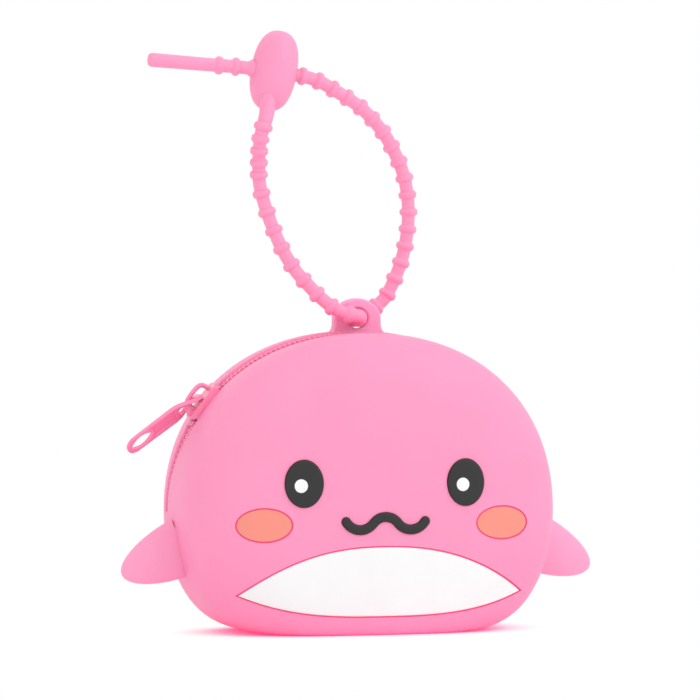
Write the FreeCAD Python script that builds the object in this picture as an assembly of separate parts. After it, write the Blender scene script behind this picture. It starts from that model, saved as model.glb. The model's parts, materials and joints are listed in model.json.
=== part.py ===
import FreeCAD, Part
import math
import os

# Silicone coin purse in the form of a small whale: a hollow moulded body with a zip over its top,
# face inlays, two side fins, and a ribbed wrist strap on a lug. Millimetres, +Z up, the face towards -Y.
# The origin is the middle of the flat base.

# Body
RIM_RADIUS = 52.2          # the zip's rim, a circle about an axis along Y
RIM_HEIGHT = 28.5          # centre of that circle above the table
HALF_DEPTH = 24.0          # from the rim's plane to the front, and to the back
BODY_RAISE = 3.75          # the body is widest this far above the rim's centre
SIDE_SINK = 0.1            # its sides lie this far inside the rim's circle there
KEEL_DEPTH = 43.8          # from that level down to where the form would close, but the base cuts it flat
FULLNESS = 4.0             # power of the body's section from front to back: 2 is an ellipse, more is squarer
OUTLINE_WEIGHT = 0.82      # corner weight of the body's outline: 0.71 is an ellipse, more is squarer
SECTION_STEPS = 16
WALL = 2.2
SEAM_GAP = 0.25            # between the front and rear halves
SEAT_GAP = 0.1             # between a fin or lug and the body that it stands on

# Zip
ZIP_END_ANGLE = 6.5        # the mouth ends this far above the rim's centre, on both sides
MOUTH_HALF_WIDTH = 3.6
TAPE_SINK = 1.8            # the tapes' inner face lies this far below the rim
TAPE_THICKNESS = 0.6
TAPE_INNER_EDGE = 0.9      # half of the gap between the tapes
TAPE_SEAT = 1.4            # how far a tape reaches into the shell's edge
COLLAR_WIDTH = 2.8         # thick edge of the mouth that holds a tape
COLLAR_SINK = 1.0          # that edge reaches this far below the tape
COIL_HEIGHT = 2.0
COIL_SPINE = 1.0           # width of the strip that joins a row of teeth
COIL_HALF_WIDTH = 2.6
TOOTH_PITCH = 1.45
TOOTH_WIDTH = 0.6
TOOTH_OVERLAP = 0.8        # how far a row's teeth reach past the middle
STOP_LENGTH = 1.5
STOP_GAP = 0.4
STOP_SET_BACK = 4.5        # from the mouth's open end to the bottom stop

# Slider and pull tab
SLIDER_ANGLE = 142.6       # where the slider stands when the zip is closed
SLIDER_LENGTH = 11.6
SLIDER_HALF_WIDTH = 3.4
PLATE_THICKNESS = 1.3
CHANNEL_CLEARANCE = 0.7    # between the plates and the chain
LIP_THICKNESS = 0.5
POST_HALF_WIDTH = 0.7
POST_LENGTH = 2.2
CORNER_RADIUS = 1.5
CROWN_SPAN = 7.6
CROWN_HEIGHT = 4.2
CROWN_BAR = 1.2
CROWN_HALF_WIDTH = 1.0
TAB_LENGTH = 23.0
TAB_WIDTH = 7.0
TAB_THICKNESS = 1.5
TAB_LIFT = 16.5            # angle between the tab and the rim's tangent
TAB_SLOT = 4.8             # length of the slot that straddles the crown
TAB_SLOT_CLEARANCE = 0.5
TAB_HOLE_LENGTH = 7.0
TAB_HOLE_WIDTH = 3.0

# Face, each place given as X and Z on the front
EYE_X = 22.4
EYE_Z = 40.4
EYE_WIDTH = 10.5
EYE_HEIGHT = 12.8
PUPIL_DIAMETER = 3.8
PUPIL_SHIFT_X = -0.7
PUPIL_SHIFT_Z = -0.4
MOUTH_END = (11.0, 30.1)
MOUTH_DIP = (6.6, 27.7)
MOUTH_PEAK_Z = 31.5
MOUTH_STROKE = 2.5
CHEEK_X = 33.0
CHEEK_Z = 29.6
CHEEK_WIDTH = 14.6
CHEEK_HEIGHT = 8.7
BELLY_TIP = (39.3, 10.8)
BELLY_TOP_Z = 23.7
BELLY_BOTTOM_Z = 5.1
INLAY_DEPTH = 1.2          # an inlay's back lies this far below the skin
INLAY_GAP = 0.15           # around and behind an inlay
FACE_RISE = 0.7            # eyes and mouth stand out
PATCH_RISE = -0.25         # cheeks and belly lie a little below the skin
PUPIL_RISE = 0.35
PUPIL_DEPTH = 0.6

# Fins
FIN_Y = 0.5                # middle plane of the fins
FIN_THICKNESS = 5.6
FIN_REACH = 13.9           # from the rim out to the tip
FIN_TIP_DROP = 10.8        # the tip lies this far below the rim's centre
FIN_TOP_RISE = 6.2         # the root's upper end, above the rim's centre
FIN_FOOT_DROP = 14.9       # the lower edge, below the rim's centre
FIN_FOOT_BACK = 3.7        # the foot ends this far short of the tip
FIN_SHOULDER = (1.5, 3.1)  # from the tip back and up to the fin's upper edge
FIN_EDGE = 2.0

# Lug and strap
LUG_X = 1.0                # the lug stands slightly right of the middle
LUG_FRONT = 4.0            # Y of its front face, just behind the mouth
LUG_THICKNESS = 3.4
LUG_HOLE_RISE = 3.4        # the hole's centre, above the rim
LUG_RADIUS = 5.8
LUG_HOLE_RADIUS = 2.8
RIB_DIAMETER = 4.6
CORD_DIAMETER = 3.7
RIB_PITCH = 4.8
RIB_WIDTH = 1.9            # foot of one rib along the cord
RIB_CREST = 0.8            # flat of its top
NECK_LENGTH = 5.5          # smooth cord below the bead
TAIL_LENGTH = 19.0         # smooth tail beyond the last rib
TAIL_TIP_DIAMETER = 3.0
LUG_CROSSING = 11.0        # straight run of the strap through the lug
BEAD_CROSSING = 21.0       # straight run of the strap through the bead
BEAD_DIAMETER = 13.0
BEAD_HEIGHT = 21.3
BEAD_CENTRE = (-22.3, 5.7, 150.9)
BEAD_LEAN = 3.0            # degrees that the bead leans towards +X
BEAD_BORE_CLEARANCE = 0.3
BEAD_FOOT_MARGIN = 0.3     # flat round the cord where it meets the bead

V = FreeCAD.Vector
RIM_CENTRE = V(0, 0, RIM_HEIGHT)
FAR = 4 * RIM_RADIUS
TINY = 1e-6
ROUNDING_LIMIT = 0.4       # largest rounding, as a share of the thickness that it rounds
BEND_SHARE = 0.45          # each end of a run gives this share of the shorter run to its bend
TAPE_RADIUS = RIM_RADIUS - TAPE_SINK
TAPE_TOP = TAPE_RADIUS + TAPE_THICKNESS
COIL_TOP = TAPE_TOP + COIL_HEIGHT
PLATE_RADIUS = COIL_TOP + CHANNEL_CLEARANCE
BOTTOM_PLATE_TOP = TAPE_RADIUS - CHANNEL_CLEARANCE
PLATE_TOP = PLATE_RADIUS + PLATE_THICKNESS
SLIDER_HALF_ANGLE = math.degrees(SLIDER_LENGTH / 2 / PLATE_RADIUS)
TOP_STOP_ANGLE = SLIDER_ANGLE + SLIDER_HALF_ANGLE + math.degrees(STOP_GAP / COIL_TOP)
STOP_SPAN = math.degrees(STOP_LENGTH / COIL_TOP)
BOTTOM_STOP_ANGLE = ZIP_END_ANGLE + math.degrees(STOP_SET_BACK / COIL_TOP)
FIN_TIP_X = RIM_RADIUS + FIN_REACH
FIN_TIP_Z = RIM_HEIGHT - FIN_TIP_DROP
FIN_TOP_Z = RIM_HEIGHT + FIN_TOP_RISE
FIN_FOOT_Z = RIM_HEIGHT - FIN_FOOT_DROP
LUG_HOLE_Z = RIM_HEIGHT + RIM_RADIUS + LUG_HOLE_RISE
LUG_MIDDLE = LUG_FRONT + LUG_THICKNESS / 2
HALF_WIDTH = RIM_RADIUS - SIDE_SINK
BODY_RISE = RIM_RADIUS - BODY_RAISE
BODY_HEIGHT = RIM_HEIGHT + BODY_RAISE
BASE_HALF_DEPTH = HALF_DEPTH * (1 - (BODY_HEIGHT / KEEL_DEPTH) ** FULLNESS) ** (1 / FULLNESS)
MOUTH_END_Z = RIM_HEIGHT + RIM_RADIUS * math.sin(math.radians(ZIP_END_ANGLE))


def section_curve():
    """Half of the body's section, drawn one unit large: from the front over the side to the back."""
    points = []
    for step in range(1, SECTION_STEPS):
        turn = math.pi * step / SECTION_STEPS
        outward = math.sin(turn) ** (2 / FULLNESS)
        backward = abs(math.cos(turn)) ** (2 / FULLNESS)
        points.append(V(outward, math.copysign(backward, turn - math.pi / 2), 0))
    curve = Part.BSplineCurve()
    curve.interpolate(
        Points=[V(0, -1, 0)] + points + [V(0, 1, 0)], InitialTangent=V(1, 0, 0), FinalTangent=V(-1, 0, 0))
    return curve


def body_form(offset):
    """The body's closed form, grown by an offset: its section carried round a squarish oval about Y."""
    corner = OUTLINE_WEIGHT
    oval = [
        (0, 1, 1), (-1, 1, corner), (-1, 0, 1), (-1, -1, corner), (0, -1, 1), (1, -1, corner), (1, 0, 1),
        (1, 1, corner), (0, 1, 1)]
    section = section_curve()
    rows = []
    for pole in section.getPoles():
        row = []
        for across, upward, _ in oval:
            height = (BODY_RISE if upward > 0 else KEEL_DEPTH) + offset
            x = across * (HALF_WIDTH + offset) * pole.x
            row.append(V(x, (HALF_DEPTH + offset) * pole.y, BODY_HEIGHT + upward * height * pole.x))
        rows.append(row)
    weights = [[weight for _, _, weight in oval] for _ in rows]
    skin = Part.BSplineSurface()
    skin.buildFromPolesMultsKnots(
        rows, section.getMultiplicities(), [3, 2, 2, 2, 3], section.getKnots(), [0, 1, 2, 3, 4], False, False,
        section.Degree, 2, weights)
    form = Part.Solid(Part.Shell([skin.toShape()]))
    if form.Volume < 0:
        form.reverse()
    return form


def pebble(offset):
    """The body's solid form, grown by an offset, standing on a base that is grown too."""
    floor = Part.makeBox(2 * FAR, 2 * FAR, FAR, V(-FAR, -FAR, -offset))
    return body_form(offset).common(floor)


def ring_sector(inner, outer, near, far, start, end):
    """Part of a ring about the rim's axis: radii, Y from near to far, angles from +X up over the top."""
    corners = [V(inner, near, 0), V(outer, near, 0), V(outer, far, 0), V(inner, far, 0)]
    face = Part.Face(Part.makePolygon(corners + corners[:1]))
    sector = face.revolve(V(), V(0, -1, 0), end - start)
    sector.rotate(V(), V(0, -1, 0), start)
    sector.translate(RIM_CENTRE)
    return sector


def on_rim(shape, angle):
    """Carries a shape made at the top of the rim, about its own X and Z, to an angle on the rim."""
    turned = shape.copy()
    turned.translate(RIM_CENTRE)
    turned.rotate(RIM_CENTRE, V(0, -1, 0), angle - 90)
    return turned


def side_prism(points):
    """A solid as wide as the body and more, from corners given as Y and Z."""
    corners = [V(-FAR, y, z) for y, z in points]
    return Part.Face(Part.makePolygon(corners + corners[:1])).extrude(V(2 * FAR, 0, 0))


def front_region(shift):
    """What lies before the seam, which rises from the base's front edge to the ends of the mouth."""
    slope = BASE_HALF_DEPTH / MOUTH_END_Z
    below = -BASE_HALF_DEPTH - slope * FAR
    seam = [(below - shift, -FAR), (-shift, MOUTH_END_Z), (-shift, FAR)]
    return side_prism([(-FAR, -FAR)] + seam + [(-FAR, FAR)])


def tape(side):
    """One zip tape, on the side of the sign of Y."""
    edges = sorted([side * TAPE_INNER_EDGE, side * (MOUTH_HALF_WIDTH + TAPE_SEAT)])
    return ring_sector(TAPE_RADIUS, TAPE_TOP, edges[0], edges[1], ZIP_END_ANGLE, 180 - ZIP_END_ANGLE)


def coil(side, offset):
    """One row of teeth on a spine, in step with the other row by an angular offset."""
    start = BOTTOM_STOP_ANGLE + STOP_SPAN
    end = SLIDER_ANGLE
    spine_edges = sorted([side * COIL_HALF_WIDTH, side * (COIL_HALF_WIDTH - COIL_SPINE)])
    tooth_edges = sorted([side * (COIL_HALF_WIDTH - COIL_SPINE / 2), -side * TOOTH_OVERLAP])
    spine = ring_sector(TAPE_TOP, COIL_TOP, spine_edges[0], spine_edges[1], start, end)
    pitch = math.degrees(TOOTH_PITCH / COIL_TOP)
    width = math.degrees(TOOTH_WIDTH / COIL_TOP)
    count = int((end - start) / pitch) - 1
    teeth = []
    for i in range(count):
        angle = start + (i + 0.5 + offset) * pitch
        teeth.append(ring_sector(TAPE_TOP, COIL_TOP, tooth_edges[0], tooth_edges[1], angle, angle + width))
    return spine.multiFuse(teeth)


def top_stop(side):
    """The stop at the closed end of one row."""
    edges = sorted([side * TAPE_INNER_EDGE, side * COIL_HALF_WIDTH])
    return ring_sector(TAPE_TOP, COIL_TOP, edges[0], edges[1], TOP_STOP_ANGLE, TOP_STOP_ANGLE + STOP_SPAN)


def bottom_stop():
    """The stop across both tapes at the open end."""
    end = BOTTOM_STOP_ANGLE + STOP_SPAN / 2
    return ring_sector(TAPE_TOP, COIL_TOP, -COIL_HALF_WIDTH, COIL_HALF_WIDTH, BOTTOM_STOP_ANGLE, end)


def plate(inner, outer):
    """One plate of the slider, with rounded corners."""
    half = SLIDER_HALF_ANGLE
    edge = SLIDER_HALF_WIDTH
    blank = ring_sector(inner, outer, -edge, edge, SLIDER_ANGLE - half, SLIDER_ANGLE + half)
    thickness = outer - inner
    straight = [e for e in blank.Edges if e.Curve.TypeId == "Part::GeomLine"]
    corners = [e for e in straight if abs(e.Length - thickness) < TINY]
    return blank.makeFillet(CORNER_RADIUS, corners)


def crown():
    """The arch on the slider that holds the pull tab."""
    outer = Part.makeCylinder(CROWN_SPAN / 2, 2 * CROWN_HALF_WIDTH, V(0, CROWN_HALF_WIDTH, 0), V(0, -1, 0))
    inner = Part.makeCylinder(
        CROWN_SPAN / 2 - CROWN_BAR, 2 * CROWN_HALF_WIDTH, V(0, CROWN_HALF_WIDTH, 0), V(0, -1, 0))
    hoop = outer.cut(inner)
    leg_height = CROWN_HEIGHT - CROWN_SPAN / 2
    hoop.translate(V(0, 0, PLATE_TOP + leg_height))
    above = Part.makeBox(FAR, FAR, FAR, V(-FAR / 2, -FAR / 2, PLATE_TOP + leg_height))
    arch = hoop.common(above)
    foot = PLATE_RADIUS
    for side in (-1, 1):
        start = side * (CROWN_SPAN / 2 - CROWN_BAR / 2) - CROWN_BAR / 2
        leg = Part.makeBox(
            CROWN_BAR, 2 * CROWN_HALF_WIDTH, PLATE_TOP + leg_height - foot, V(start, -CROWN_HALF_WIDTH, foot))
        arch = arch.fuse(leg)
    return on_rim(arch, SLIDER_ANGLE)


def slider_body():
    """Two plates joined by a post at the leading end, with lips along the top plate and a crown."""
    top = plate(PLATE_RADIUS, PLATE_TOP)
    bottom = plate(BOTTOM_PLATE_TOP - PLATE_THICKNESS, BOTTOM_PLATE_TOP)
    lead = SLIDER_ANGLE + SLIDER_HALF_ANGLE - math.degrees(CORNER_RADIUS / 2 / PLATE_RADIUS)
    trail = lead - math.degrees(POST_LENGTH / PLATE_RADIUS)
    post = ring_sector(BOTTOM_PLATE_TOP, PLATE_RADIUS, -POST_HALF_WIDTH, POST_HALF_WIDTH, trail, lead)
    parts = [bottom, post, crown()]
    inset = math.degrees(CORNER_RADIUS / PLATE_RADIUS)
    for side in (-1, 1):
        edges = sorted([side * SLIDER_HALF_WIDTH, side * (SLIDER_HALF_WIDTH - LIP_THICKNESS)])
        parts.append(ring_sector(
            TAPE_TOP + CHANNEL_CLEARANCE, PLATE_RADIUS, edges[0], edges[1],
            SLIDER_ANGLE - SLIDER_HALF_ANGLE + inset, SLIDER_ANGLE + SLIDER_HALF_ANGLE - inset))
    return top.multiFuse(parts).removeSplitter()


def tab_pivot():
    """Height of the tab's pivot above the rim's centre: the tab's bar hangs under the crown's arch."""
    return PLATE_TOP + CROWN_HEIGHT - CROWN_BAR - TAB_THICKNESS / 2 - CHANNEL_CLEARANCE


def crown_slot():
    """A cutter for the slot that straddles the crown: square at the tab's bar, round at its far end."""
    radius = CROWN_HALF_WIDTH + TAB_SLOT_CLEARANCE
    start = TAB_THICKNESS / 2
    thick = 2 * TAB_THICKNESS
    block = Part.makeBox(TAB_SLOT - radius - start, 2 * radius, thick, V(start, -radius, -TAB_THICKNESS))
    return block.fuse(Part.makeCylinder(radius, thick, V(TAB_SLOT - radius, 0, -TAB_THICKNESS)))


def grip_hole():
    """A cutter for the drop-shaped hole: round at the tab's far end, pointed towards the pivot."""
    radius = TAB_HOLE_WIDTH / 2
    centre = V(TAB_LENGTH - TAB_WIDTH / 2, 0, -TAB_THICKNESS)
    reach = TAB_HOLE_LENGTH - radius
    along = radius * radius / reach
    across = math.sqrt(radius * radius - along * along)
    point = centre - V(reach, 0, 0)
    sides = [centre + V(-along, across, 0), centre + V(-along, -across, 0)]
    drop = Part.Face(Part.makePolygon([point, sides[0], sides[1], point]))
    wedge = drop.extrude(V(0, 0, 2 * TAB_THICKNESS))
    return wedge.fuse(Part.makeCylinder(radius, 2 * TAB_THICKNESS, centre))


def pull_tab():
    """A flat tab with a slot that straddles the crown and a hole at its far end."""
    half = TAB_THICKNESS / 2
    round_end = TAB_WIDTH / 2
    blank = Part.makeBox(TAB_LENGTH - round_end + half, TAB_WIDTH, TAB_THICKNESS, V(-half, -round_end, -half))
    blank = blank.fuse(Part.makeCylinder(round_end, TAB_THICKNESS, V(TAB_LENGTH - round_end, 0, -half)))
    blank = blank.removeSplitter().cut(crown_slot()).cut(grip_hole())
    bar_edges = [e for e in blank.Edges if abs(e.CenterOfMass.x + half) < TINY and e.BoundBox.YLength > half]
    blank = blank.makeFillet(ROUNDING_LIMIT * TAB_THICKNESS, bar_edges)
    blank.rotate(V(), V(0, -1, 0), 180 - TAB_LIFT)
    blank.translate(V(0, 0, tab_pivot()))
    return on_rim(blank, SLIDER_ANGLE)


def forward_prism(edges):
    """A prism from an outline in the plane of the rim to well before the face."""
    return Part.Face(Part.Wire(edges)).extrude(V(0, -FAR, 0))


def oval_prism(x, z, width, height):
    """A prism of an upright oval."""
    tall = height > width
    major = max(width, height) / 2
    minor = min(width, height) / 2
    along = V(0, 0, 1) if tall else V(1, 0, 0)
    across = V(1, 0, 0) if tall else V(0, 0, 1)
    centre = V(x, 0, z)
    oval = Part.Ellipse(centre + along * major, centre + across * minor, centre)
    return forward_prism([oval.toShape()])


def arc_stroke(first, middle, last, width):
    """A prism of a stroke of even width along the arc through three points, with round ends."""
    circle = Part.Circle(first, middle, last)
    centre = circle.Center
    half = width / 2
    grow = 1 + half / circle.Radius
    shrink = 1 - half / circle.Radius
    outer = [centre + (p - centre) * grow for p in (first, middle, last)]
    inner = [centre + (p - centre) * shrink for p in (first, middle, last)]
    start_way = (first - centre).cross(V(0, 1, 0)).normalize()
    end_way = (last - centre).cross(V(0, 1, 0)).normalize()
    if start_way.dot(middle - first) > 0:
        start_way = start_way * -1
    if end_way.dot(middle - last) > 0:
        end_way = end_way * -1
    edges = [
        Part.Arc(outer[0], outer[1], outer[2]).toShape(),
        Part.Arc(outer[2], last + end_way * half, inner[2]).toShape(),
        Part.Arc(inner[2], inner[1], inner[0]).toShape(),
        Part.Arc(inner[0], first + start_way * half, outer[0]).toShape()]
    return forward_prism(edges)


def mouth_prism(grow):
    """The smile: two hanging arcs that meet in a peak."""
    strokes = []
    for side in (-1, 1):
        end = V(side * MOUTH_END[0], 0, MOUTH_END[1])
        dip = V(side * MOUTH_DIP[0], 0, MOUTH_DIP[1])
        strokes.append(arc_stroke(end, dip, V(0, 0, MOUTH_PEAK_Z), MOUTH_STROKE + 2 * grow))
    return strokes[0].fuse(strokes[1])


def belly_prism(grow):
    """The pale patch under the face, between a top arc and a bottom arc."""
    left = V(-BELLY_TIP[0] - grow, 0, BELLY_TIP[1])
    right = V(BELLY_TIP[0] + grow, 0, BELLY_TIP[1])
    top = Part.Arc(left, V(0, 0, BELLY_TOP_Z + grow), right).toShape()
    bottom = Part.Arc(right, V(0, 0, BELLY_BOTTOM_Z - grow), left).toShape()
    return forward_prism([top, bottom])


def inlay_prisms(grow):
    """Each inlay's prism, drawn larger by a gap, and how far the inlay stands out of the skin."""
    prisms = {"mouth": (mouth_prism(grow), FACE_RISE), "belly_patch": (belly_prism(grow), PATCH_RISE)}
    for name, side in (("left", -1), ("right", 1)):
        eye = oval_prism(side * EYE_X, EYE_Z, EYE_WIDTH + 2 * grow, EYE_HEIGHT + 2 * grow)
        cheek = oval_prism(side * CHEEK_X, CHEEK_Z, CHEEK_WIDTH + 2 * grow, CHEEK_HEIGHT + 2 * grow)
        prisms[name + "_eye"] = (eye, FACE_RISE)
        prisms[name + "_cheek"] = (cheek, PATCH_RISE)
    return prisms


def pupil_prism(side, grow):
    """A round rod along Y at one pupil."""
    place = V(side * EYE_X + PUPIL_SHIFT_X, 0, EYE_Z + PUPIL_SHIFT_Z)
    return Part.makeCylinder(PUPIL_DIAMETER / 2 + grow, FAR, place, V(0, -1, 0))


def fin(side):
    """A flat flipper with a rounded tip and rounded edges, cut to the body's side."""
    tip = V(FIN_TIP_X, 0, FIN_TIP_Z)
    root = RIM_RADIUS / 2
    top = V(RIM_RADIUS - WALL, 0, FIN_TOP_Z - WALL)
    shoulder = tip + V(-FIN_SHOULDER[0], 0, FIN_SHOULDER[1])
    foot = V(FIN_TIP_X - FIN_FOOT_BACK, 0, FIN_FOOT_Z)
    edges = [
        Part.LineSegment(V(root, 0, FIN_FOOT_Z), foot).toShape(),
        Part.Arc(foot, tip, shoulder).toShape(),
        Part.LineSegment(shoulder, top).toShape(),
        Part.LineSegment(top, V(root, 0, FIN_TOP_Z)).toShape(),
        Part.LineSegment(V(root, 0, FIN_TOP_Z), V(root, 0, FIN_FOOT_Z)).toShape()]
    blank = Part.Face(Part.Wire(edges)).extrude(V(0, FIN_THICKNESS, 0))
    blank.translate(V(0, FIN_Y - FIN_THICKNESS / 2, 0))
    flat_edges = [e for e in blank.Edges if e.BoundBox.YLength < TINY and e.BoundBox.XMax > root + WALL]
    blank = blank.makeFillet(min(FIN_EDGE, ROUNDING_LIMIT * FIN_THICKNESS), flat_edges)
    if side < 0:
        blank = blank.mirror(V(), V(1, 0, 0))
    return blank


def strap_lug():
    """An upright eye with a round top, open below where the body closes it, before it is cut to the body."""
    hole = V(LUG_X, LUG_FRONT, LUG_HOLE_Z)
    eye = Part.makeCylinder(LUG_RADIUS, LUG_THICKNESS, hole, V(0, 1, 0))
    foot_z = RIM_HEIGHT + RIM_RADIUS / 2
    foot_corner = V(LUG_X - LUG_RADIUS, LUG_FRONT, foot_z)
    foot = Part.makeBox(2 * LUG_RADIUS, LUG_THICKNESS, LUG_HOLE_Z - foot_z, foot_corner)
    bore = Part.makeCylinder(LUG_HOLE_RADIUS, LUG_THICKNESS, hole, V(0, 1, 0))
    corner = V(LUG_X - LUG_HOLE_RADIUS, LUG_FRONT, foot_z)
    way_down = Part.makeBox(2 * LUG_HOLE_RADIUS, LUG_THICKNESS, LUG_HOLE_Z - foot_z, corner)
    return eye.fuse(foot).cut(bore.fuse(way_down))


def bead_axes():
    """The bead's own axis, and the way in which the tail leaves its bore."""
    lean = math.radians(BEAD_LEAN)
    return V(math.sin(lean), 0, math.cos(lean)), V(-math.cos(lean), 0, math.sin(lean))


def bead_foot():
    """How far below the bead's middle its flat foot lies: the rounded end is cut to the cord's width."""
    end = BEAD_DIAMETER / 2
    flat = CORD_DIAMETER / 2 + BEAD_FOOT_MARGIN
    return BEAD_HEIGHT / 2 - end + math.sqrt(end * end - flat * flat)


def strap_bead():
    """A capsule with a flat foot for the cord and a bore across it for the tail."""
    radius = BEAD_DIAMETER / 2
    straight = BEAD_HEIGHT / 2 - radius
    diagonal = radius * math.sqrt(0.5)
    foot = bead_foot()
    flat = CORD_DIAMETER / 2 + BEAD_FOOT_MARGIN
    top = V(0, 0, BEAD_HEIGHT / 2)
    bottom_bend = V(diagonal, 0, -straight - diagonal)
    outline = [
        Part.Arc(top, V(diagonal, 0, straight + diagonal), V(radius, 0, straight)).toShape(),
        Part.LineSegment(V(radius, 0, straight), V(radius, 0, -straight)).toShape(),
        Part.Arc(V(radius, 0, -straight), bottom_bend, V(flat, 0, -foot)).toShape(),
        Part.LineSegment(V(flat, 0, -foot), V(0, 0, -foot)).toShape(),
        Part.LineSegment(V(0, 0, -foot), top).toShape()]
    capsule = Part.Face(Part.Wire(outline)).revolve(V(), V(0, 0, 1), 360)
    bore_radius = RIB_DIAMETER / 2 + BEAD_BORE_CLEARANCE
    bore = Part.makeCylinder(bore_radius, 2 * BEAD_DIAMETER, V(BEAD_DIAMETER, 0, 0), V(-1, 0, 0))
    bead = capsule.cut(bore)
    bead.rotate(V(), V(0, 1, 0), BEAD_LEAN)
    bead.translate(V(*BEAD_CENTRE))
    return bead


def cord_route():
    """The strap's corner points, from the bead's foot down to the lug, through it, and back to the bead."""
    axis, tail_way = bead_axes()
    centre = V(*BEAD_CENTRE)
    foot = centre - axis * bead_foot()
    before = LUG_MIDDLE - LUG_CROSSING / 2
    behind = LUG_MIDDLE + LUG_CROSSING / 2
    return [
        foot,
        foot - axis * NECK_LENGTH,
        V(-26.9, 4.2, 126.4),
        V(-27.2, 3.2, 117.8),
        V(-23.8, 2.0, 108.0),
        V(-18.5, 1.0, 97.5),
        V(-10.6, before, 89.4),
        V(LUG_X, before, LUG_HOLE_Z),
        V(LUG_X, behind, LUG_HOLE_Z),
        V(9.6, behind, 89.5),
        V(14.3, 10.6, 97.3),
        V(16.3, 10.0, 105.4),
        V(16.7, 9.4, 113.2),
        V(15.9, 8.8, 121.2),
        V(12.8, 8.0, 129.5),
        V(7.4, 7.2, 137.5),
        V(-0.2, 6.5, 143.9),
        centre - tail_way * BEAD_CROSSING / 2,
        centre + tail_way * BEAD_CROSSING / 2,
        V(-45.4, 5.7, 152.4),
        V(-57.4, 5.7, 153.1)]


def cord_path(route):
    """Straight runs joined by tangent arcs, each arc as large as its two runs allow."""
    edges = []
    radii = []
    start = route[0]
    for before, corner, after in zip(route, route[1:], route[2:]):
        back = before - corner
        ahead = after - corner
        turn = math.pi - back.getAngle(ahead)
        reach = BEND_SHARE * min(back.Length, ahead.Length)
        radius = reach / math.tan(turn / 2)
        back.normalize()
        ahead.normalize()
        arc_start = corner + back * reach
        arc_end = corner + ahead * reach
        inward = (back + ahead).normalize()
        arc_middle = corner + inward * (radius / math.cos(turn / 2) - radius)
        edges.append(Part.LineSegment(start, arc_start).toShape())
        edges.append(Part.Arc(arc_start, arc_middle, arc_end).toShape())
        radii.append(round(radius, 1))
        start = arc_end
    edges.append(Part.LineSegment(start, route[-1]).toShape())
    print("cord radii", radii)
    return edges


def station(edges, distance):
    """The point and the way ahead at a distance along the path."""
    for edge in edges[:-1]:
        if distance <= edge.Length:
            break
        distance -= edge.Length
    else:
        edge = edges[-1]
    place = edge.getParameterByLength(min(distance, edge.Length))
    return edge.valueAt(place), edge.tangentAt(place)


def cord_profile(length):
    """Distance along the cord and radius there: a smooth neck, ribs of four circles each, a smooth tail."""
    core = CORD_DIAMETER / 2
    crest = RIB_DIAMETER / 2
    flank = (RIB_WIDTH - RIB_CREST) / 2
    rib = ((0.0, core), (flank, crest), (flank + RIB_CREST, crest), (RIB_WIDTH, core))
    count = int((length - NECK_LENGTH - TAIL_LENGTH) / RIB_PITCH)
    profile = [(0.0, core)]
    for i in range(count):
        start = NECK_LENGTH + i * RIB_PITCH
        profile += [(start + along, radius) for along, radius in rib]
    tip = TAIL_TIP_DIAMETER / 2
    return profile + [(length - 2 * tip, core), (length, tip)]


def strap_cord():
    """The ribbed strap, one ruled loft through circles whose X axis is carried along without twist."""
    edges = cord_path(cord_route())
    length = sum(edge.Length for edge in edges)
    side = V(0, 1, 0)
    rings = []
    centres = []
    for distance, radius in cord_profile(length):
        point, ahead = station(edges, distance)
        side = (side - ahead * side.dot(ahead)).normalize()
        up = ahead.cross(side)
        place = FreeCAD.Matrix(
            side.x, up.x, ahead.x, point.x, side.y, up.y, ahead.y, point.y, side.z, up.z, ahead.z, point.z)
        ring = Part.Wire(Part.makeCircle(radius))
        ring.Placement = FreeCAD.Placement(place)
        rings.append(ring)
        centres.append((distance, point))
    cord = Part.makeLoft(rings, True, True)
    section = math.pi * CORD_DIAMETER ** 2 / 4
    print("cord length", round(length, 1), "volume over core section times length",
          round(cord.Volume / (section * length), 3))
    apart = 3 * RIB_DIAMETER
    gaps = [p.distanceToPoint(q) for s, p in centres for t, q in centres if t - s > apart]
    print("least gap of the cord to itself", round(min(gaps) - RIB_DIAMETER, 2))
    return cord


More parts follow.
